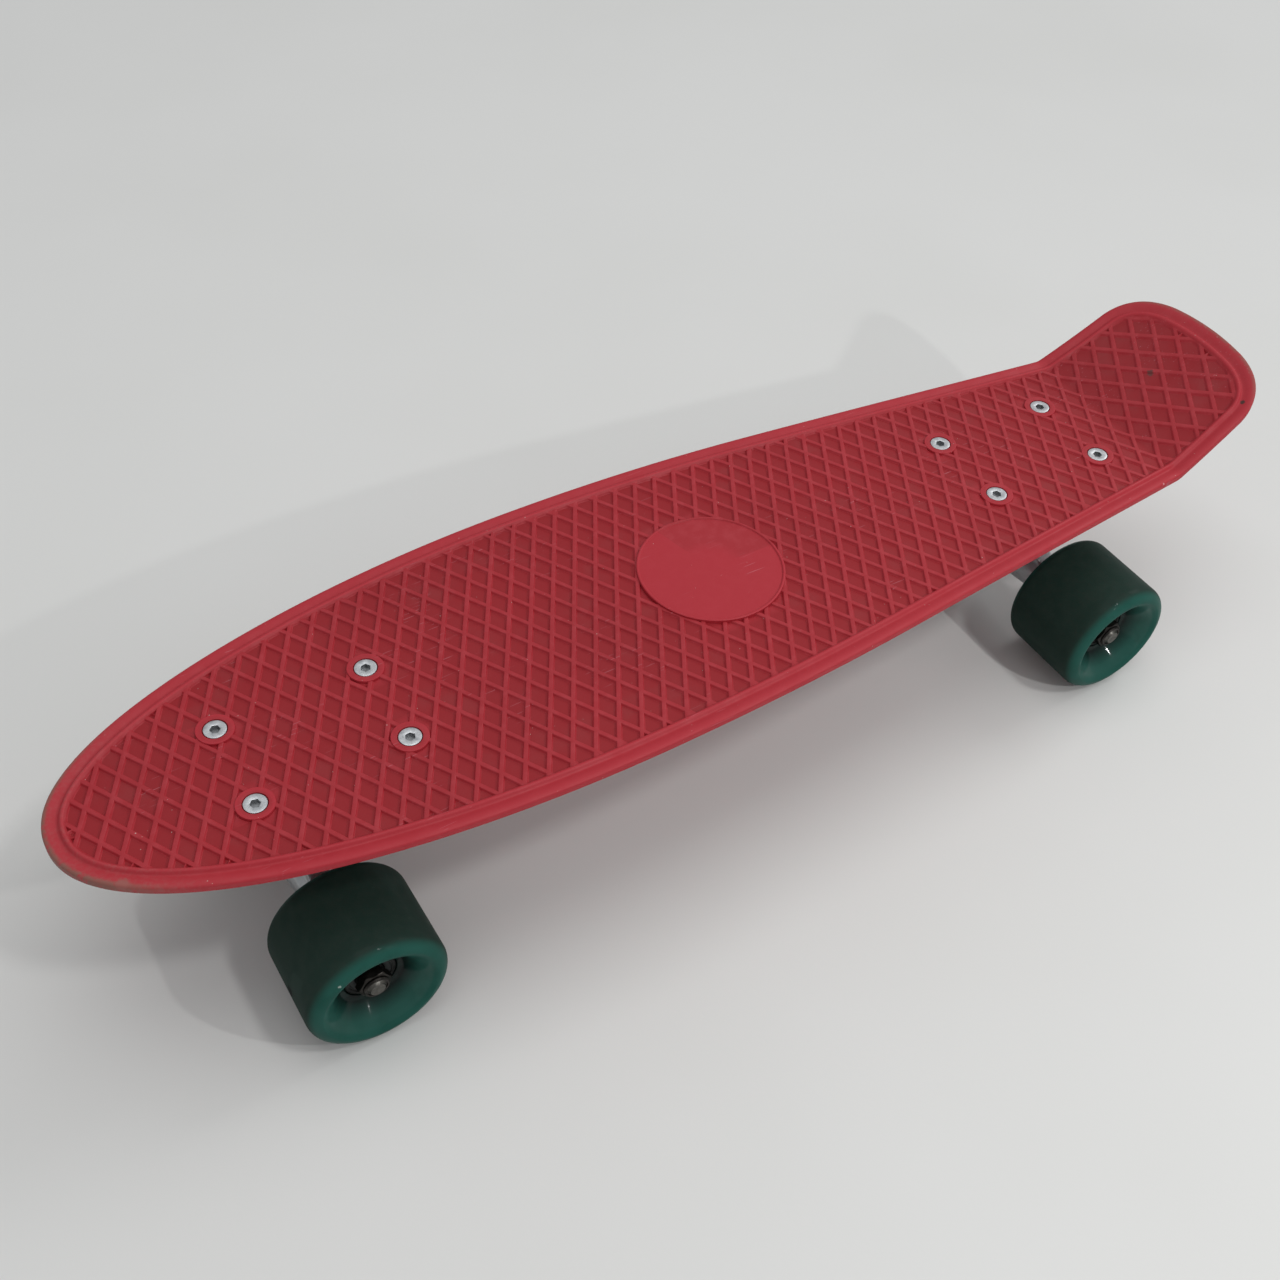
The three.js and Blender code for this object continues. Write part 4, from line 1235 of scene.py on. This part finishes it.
def axle_body():
    """Axle along its own length, threaded at both ends."""
    turns = thread(AXLE_THREAD, AXLE_HALF - 0.7, AXLE_RADIUS, 1.06, 0.45)
    half = [(0, AXLE_HALF), (AXLE_RADIUS - 0.9, AXLE_HALF), *reversed(turns), (AXLE_RADIUS, 60.0)]
    return shell(both_ways(half), 40)


def core_body():
    """Inner rings, spacer and speed washers about the wheel's middle."""
    return shell(both_ways([
        (4.3, 12.8), (5.1, 12.8), (5.2, 12.7), (5.2, 12.0), (5.8, 12.0), (6.0, 11.8), (6.0, 5.2),
        (5.8, 5.0), (5.2, 5.0), (5.2, 2.0),
    ]))


def bearing_body():
    """Outer ring and seals of one bearing, about its middle."""
    made = shell(both_ways([
        (6.4, 2.9), (6.9, 3.0), (7.3, 2.75), (8.5, 2.75), (8.9, 3.05), (9.15, 3.05), (9.25, 3.5),
        (10.6, 3.5), (11.0, 3.1),
    ]), 64)
    for face in made.faces:
        face.material_index = int(radius_of(face.calc_center_median()) < SEAL_RADIUS)
    return made


def arc(centre_r, centre_h, radius, start, end, steps):
    """Profile points on an arc, from one angle to another."""
    points = []
    for step in range(steps + 1):
        turn = math.radians(start + (end - start) * step / steps)
        points.append((centre_r + radius * math.cos(turn), centre_h + radius * math.sin(turn)))
    return points


def clamped(value):
    """A value kept between 0 and 1."""
    return max(0.0, min(1.0, value))


def wheel_body(sizes):
    """Wheel about its middle: flat tread, round lips, a deep dish on each face and two bearing
    seats."""
    radius, half = sizes.radius / MM, sizes.width / MM / 2
    round_lip = arc(
        radius - WHEEL_LIP, half - WHEEL_LIP, WHEEL_LIP, start=84, end=0, steps=10)
    flat = [(radius, half - WHEEL_LIP - 4), (radius, 9), (radius, 3)]
    made = shell(both_ways([*WHEEL_FACE, *round_lip, *flat]), 144)
    tread, hub, dish = (made.verts.layers.float.new(name) for name in ("tread", "hub", "dish"))
    for point in made.verts:
        r = radius_of(point.co)
        # The tread's dirt, dullness and painted shade fade out over the lips, inwards and towards
        # the faces
        point[tread] = clamped((r - radius + 2.6) / 2.2) * clamped((half - abs(point.co.z)) / 4)
        point[hub] = clamped((HUB_GREASE_AND_SHADE_RADIUS - r) / HUB_GREASE_AND_SHADE_FADE)
        point[dish] = clamped(GLOSS_RADIUS - r)
    uv_layer = made.loops.layers.uv.new("wheel")
    for face in made.faces:
        turns = [math.atan2(corner.vert.co.y, corner.vert.co.x) for corner in face.loops]
        for corner, turn in zip(face.loops, turns):
            if max(turns) - min(turns) > math.pi and turn < 0:
                turn += math.tau
            height, inward = corner.vert.co.z, radius - radius_of(corner.vert.co)
            across = height + inward * (1 if height > 0 else -1)
            corner[uv_layer].uv = (turn * radius * MM, across * MM)
    return made


class SKATE_OT_axles(bpy.types.Operator):
    """Builds the axles and their nuts"""
    bl_idname = "skate.axles"
    bl_label = "Axles and nuts"

    def execute(self, context):
        axle = mesh_of(axle_body(), "axle")
        nut = mesh_of(lock_nut(*AXLE_NUT), "axle_nut")
        for name, side in SIDES.items():
            body = f"{name}_hanger"
            where = truck_frame(side) @ aimed(AXLE, Vector((0, 1, 0)))
            shown(f"{name}_axle_rod", axle, body, ["steel"], [f"{name}_axle"], where)
            for hand, way in HANDS.items():
                shown(f"{name}_{hand}_lock_nut", nut, body, ["black_nut", "nylon"],
                      [f"{name}_{hand}_axle_nut"], on_axle(side, way, AXLE_NUT_AT))
        return {"FINISHED"}


class SKATE_OT_wheels(bpy.types.Operator):
    """Builds the four wheels with their bearings"""
    bl_idname = "skate.wheels"
    bl_label = "Wheels and bearings"

    def execute(self, context):
        wheel = mesh_of(wheel_body(context.scene.skate_wheel), "wheel")
        bearing = mesh_of(bearing_body(), "bearing")
        core = mesh_of(core_body(), "core")
        for name, side in SIDES.items():
            for hand, way in HANDS.items():
                corner = f"{name}_{hand}"
                body, where = f"{corner}_wheel", on_axle(side, way, WHEEL_AT)
                shown(f"{corner}_urethane_wheel", wheel, body, ["wheel"],
                      [f"{corner}_wheel"], where, smooth=50)
                shown(f"{corner}_inner_rings", core, f"{name}_hanger", ["race"],
                      [f"{corner}_bearing_core"], where)
                for place, sign in (("outer", 1), ("inner", -1)):
                    shown(f"{corner}_{place}_ball_bearing", bearing, body,
                          ["race", "seal"], [f"{corner}_{place}_bearing"],
                          where @ moving(0, 0, sign * BEARING_AT))
        return {"FINISHED"}


# Stage

def lamp(name, place, size, power):
    """A soft square lamp that faces the board."""
    light = bpy.data.lights.new(name, "AREA")
    light.shape = "SQUARE"
    light.size = size
    light.energy = power
    made = bpy.data.objects.new(name, light)
    made.location = place
    made.rotation_mode = "QUATERNION"
    made.rotation_quaternion = (LAMP_TARGET - Vector(place)).to_track_quat("-Z", "Y")
    bpy.context.scene.collection.objects.link(made)


class SKATE_OT_stage(bpy.types.Operator):
    """Sets the floor, the lamps and the camera at the photograph's angle"""
    bl_idname = "skate.stage"
    bl_label = "Stage"

    def execute(self, context):
        ground = bmesh.new()
        bmesh.ops.create_grid(ground, x_segments=1, y_segments=1, size=FLOOR_REACH)
        floor = loose("studio_floor", ground, 1.0)
        floor.data.materials.append(finish_of("floor"))
        world = bpy.data.worlds.new("studio")
        world.use_nodes = True
        background = world.node_tree.nodes["Background"]
        background.inputs["Color"].default_value = linear(WORLD_COLOUR)
        background.inputs["Strength"].default_value = WORLD_STRENGTH
        context.scene.world = world
        for values in LAMPS:
            lamp(*values)
        eye = bpy.data.cameras.new("camera")
        eye.sensor_width = CAMERA_SENSOR
        eye.angle = math.radians(CAMERA_ANGLE)
        eye.clip_start = 0.01
        camera = bpy.data.objects.new("camera", eye)
        camera.location = CAMERA_PLACE
        camera.rotation_euler = [math.radians(turn) for turn in CAMERA_TURN]
        context.scene.collection.objects.link(camera)
        context.scene.camera = camera
        context.scene.view_settings.view_transform = "Standard"
        return {"FINISHED"}


class SKATE_PT_panel(bpy.types.Panel):
    """Lists the skateboard's values and builders"""
    bl_idname = "SKATE_PT_panel"
    bl_label = "Cruiser skateboard"
    bl_space_type = "VIEW_3D"
    bl_region_type = "UI"
    bl_category = "Skateboard"

    def draw(self, context):
        for name in GROUPS:
            group = getattr(context.scene, name)
            box = self.layout.box()
            for key in group.__annotations__:
                box.prop(group, key)
        for builder in BUILDERS:
            self.layout.operator(builder.bl_idname)


GROUPS = {
    "skate_deck": SkateDeckSizes, "skate_wheel": SkateWheelSizes, "skate_finishes": SkateFinishes}
BUILDERS = (
    SKATE_OT_stage, SKATE_OT_deck, SKATE_OT_fasteners, SKATE_OT_castings, SKATE_OT_kingpins,
    SKATE_OT_axles, SKATE_OT_wheels,
)
CLASSES = (*GROUPS.values(), *BUILDERS, SKATE_PT_panel)


def register():
    for made in CLASSES:
        bpy.utils.register_class(made)
    for name, group in GROUPS.items():
        setattr(bpy.types.Scene, name, bpy.props.PointerProperty(type=group))


def unregister():
    for name in GROUPS:
        delattr(bpy.types.Scene, name)
    for made in reversed(CLASSES):
        bpy.utils.unregister_class(made)


def main():
    register()
    for builder in BUILDERS:
        group, call = builder.bl_idname.split(".")
        getattr(getattr(bpy.ops, group), call)()


if __name__ == "__main__":
    main()
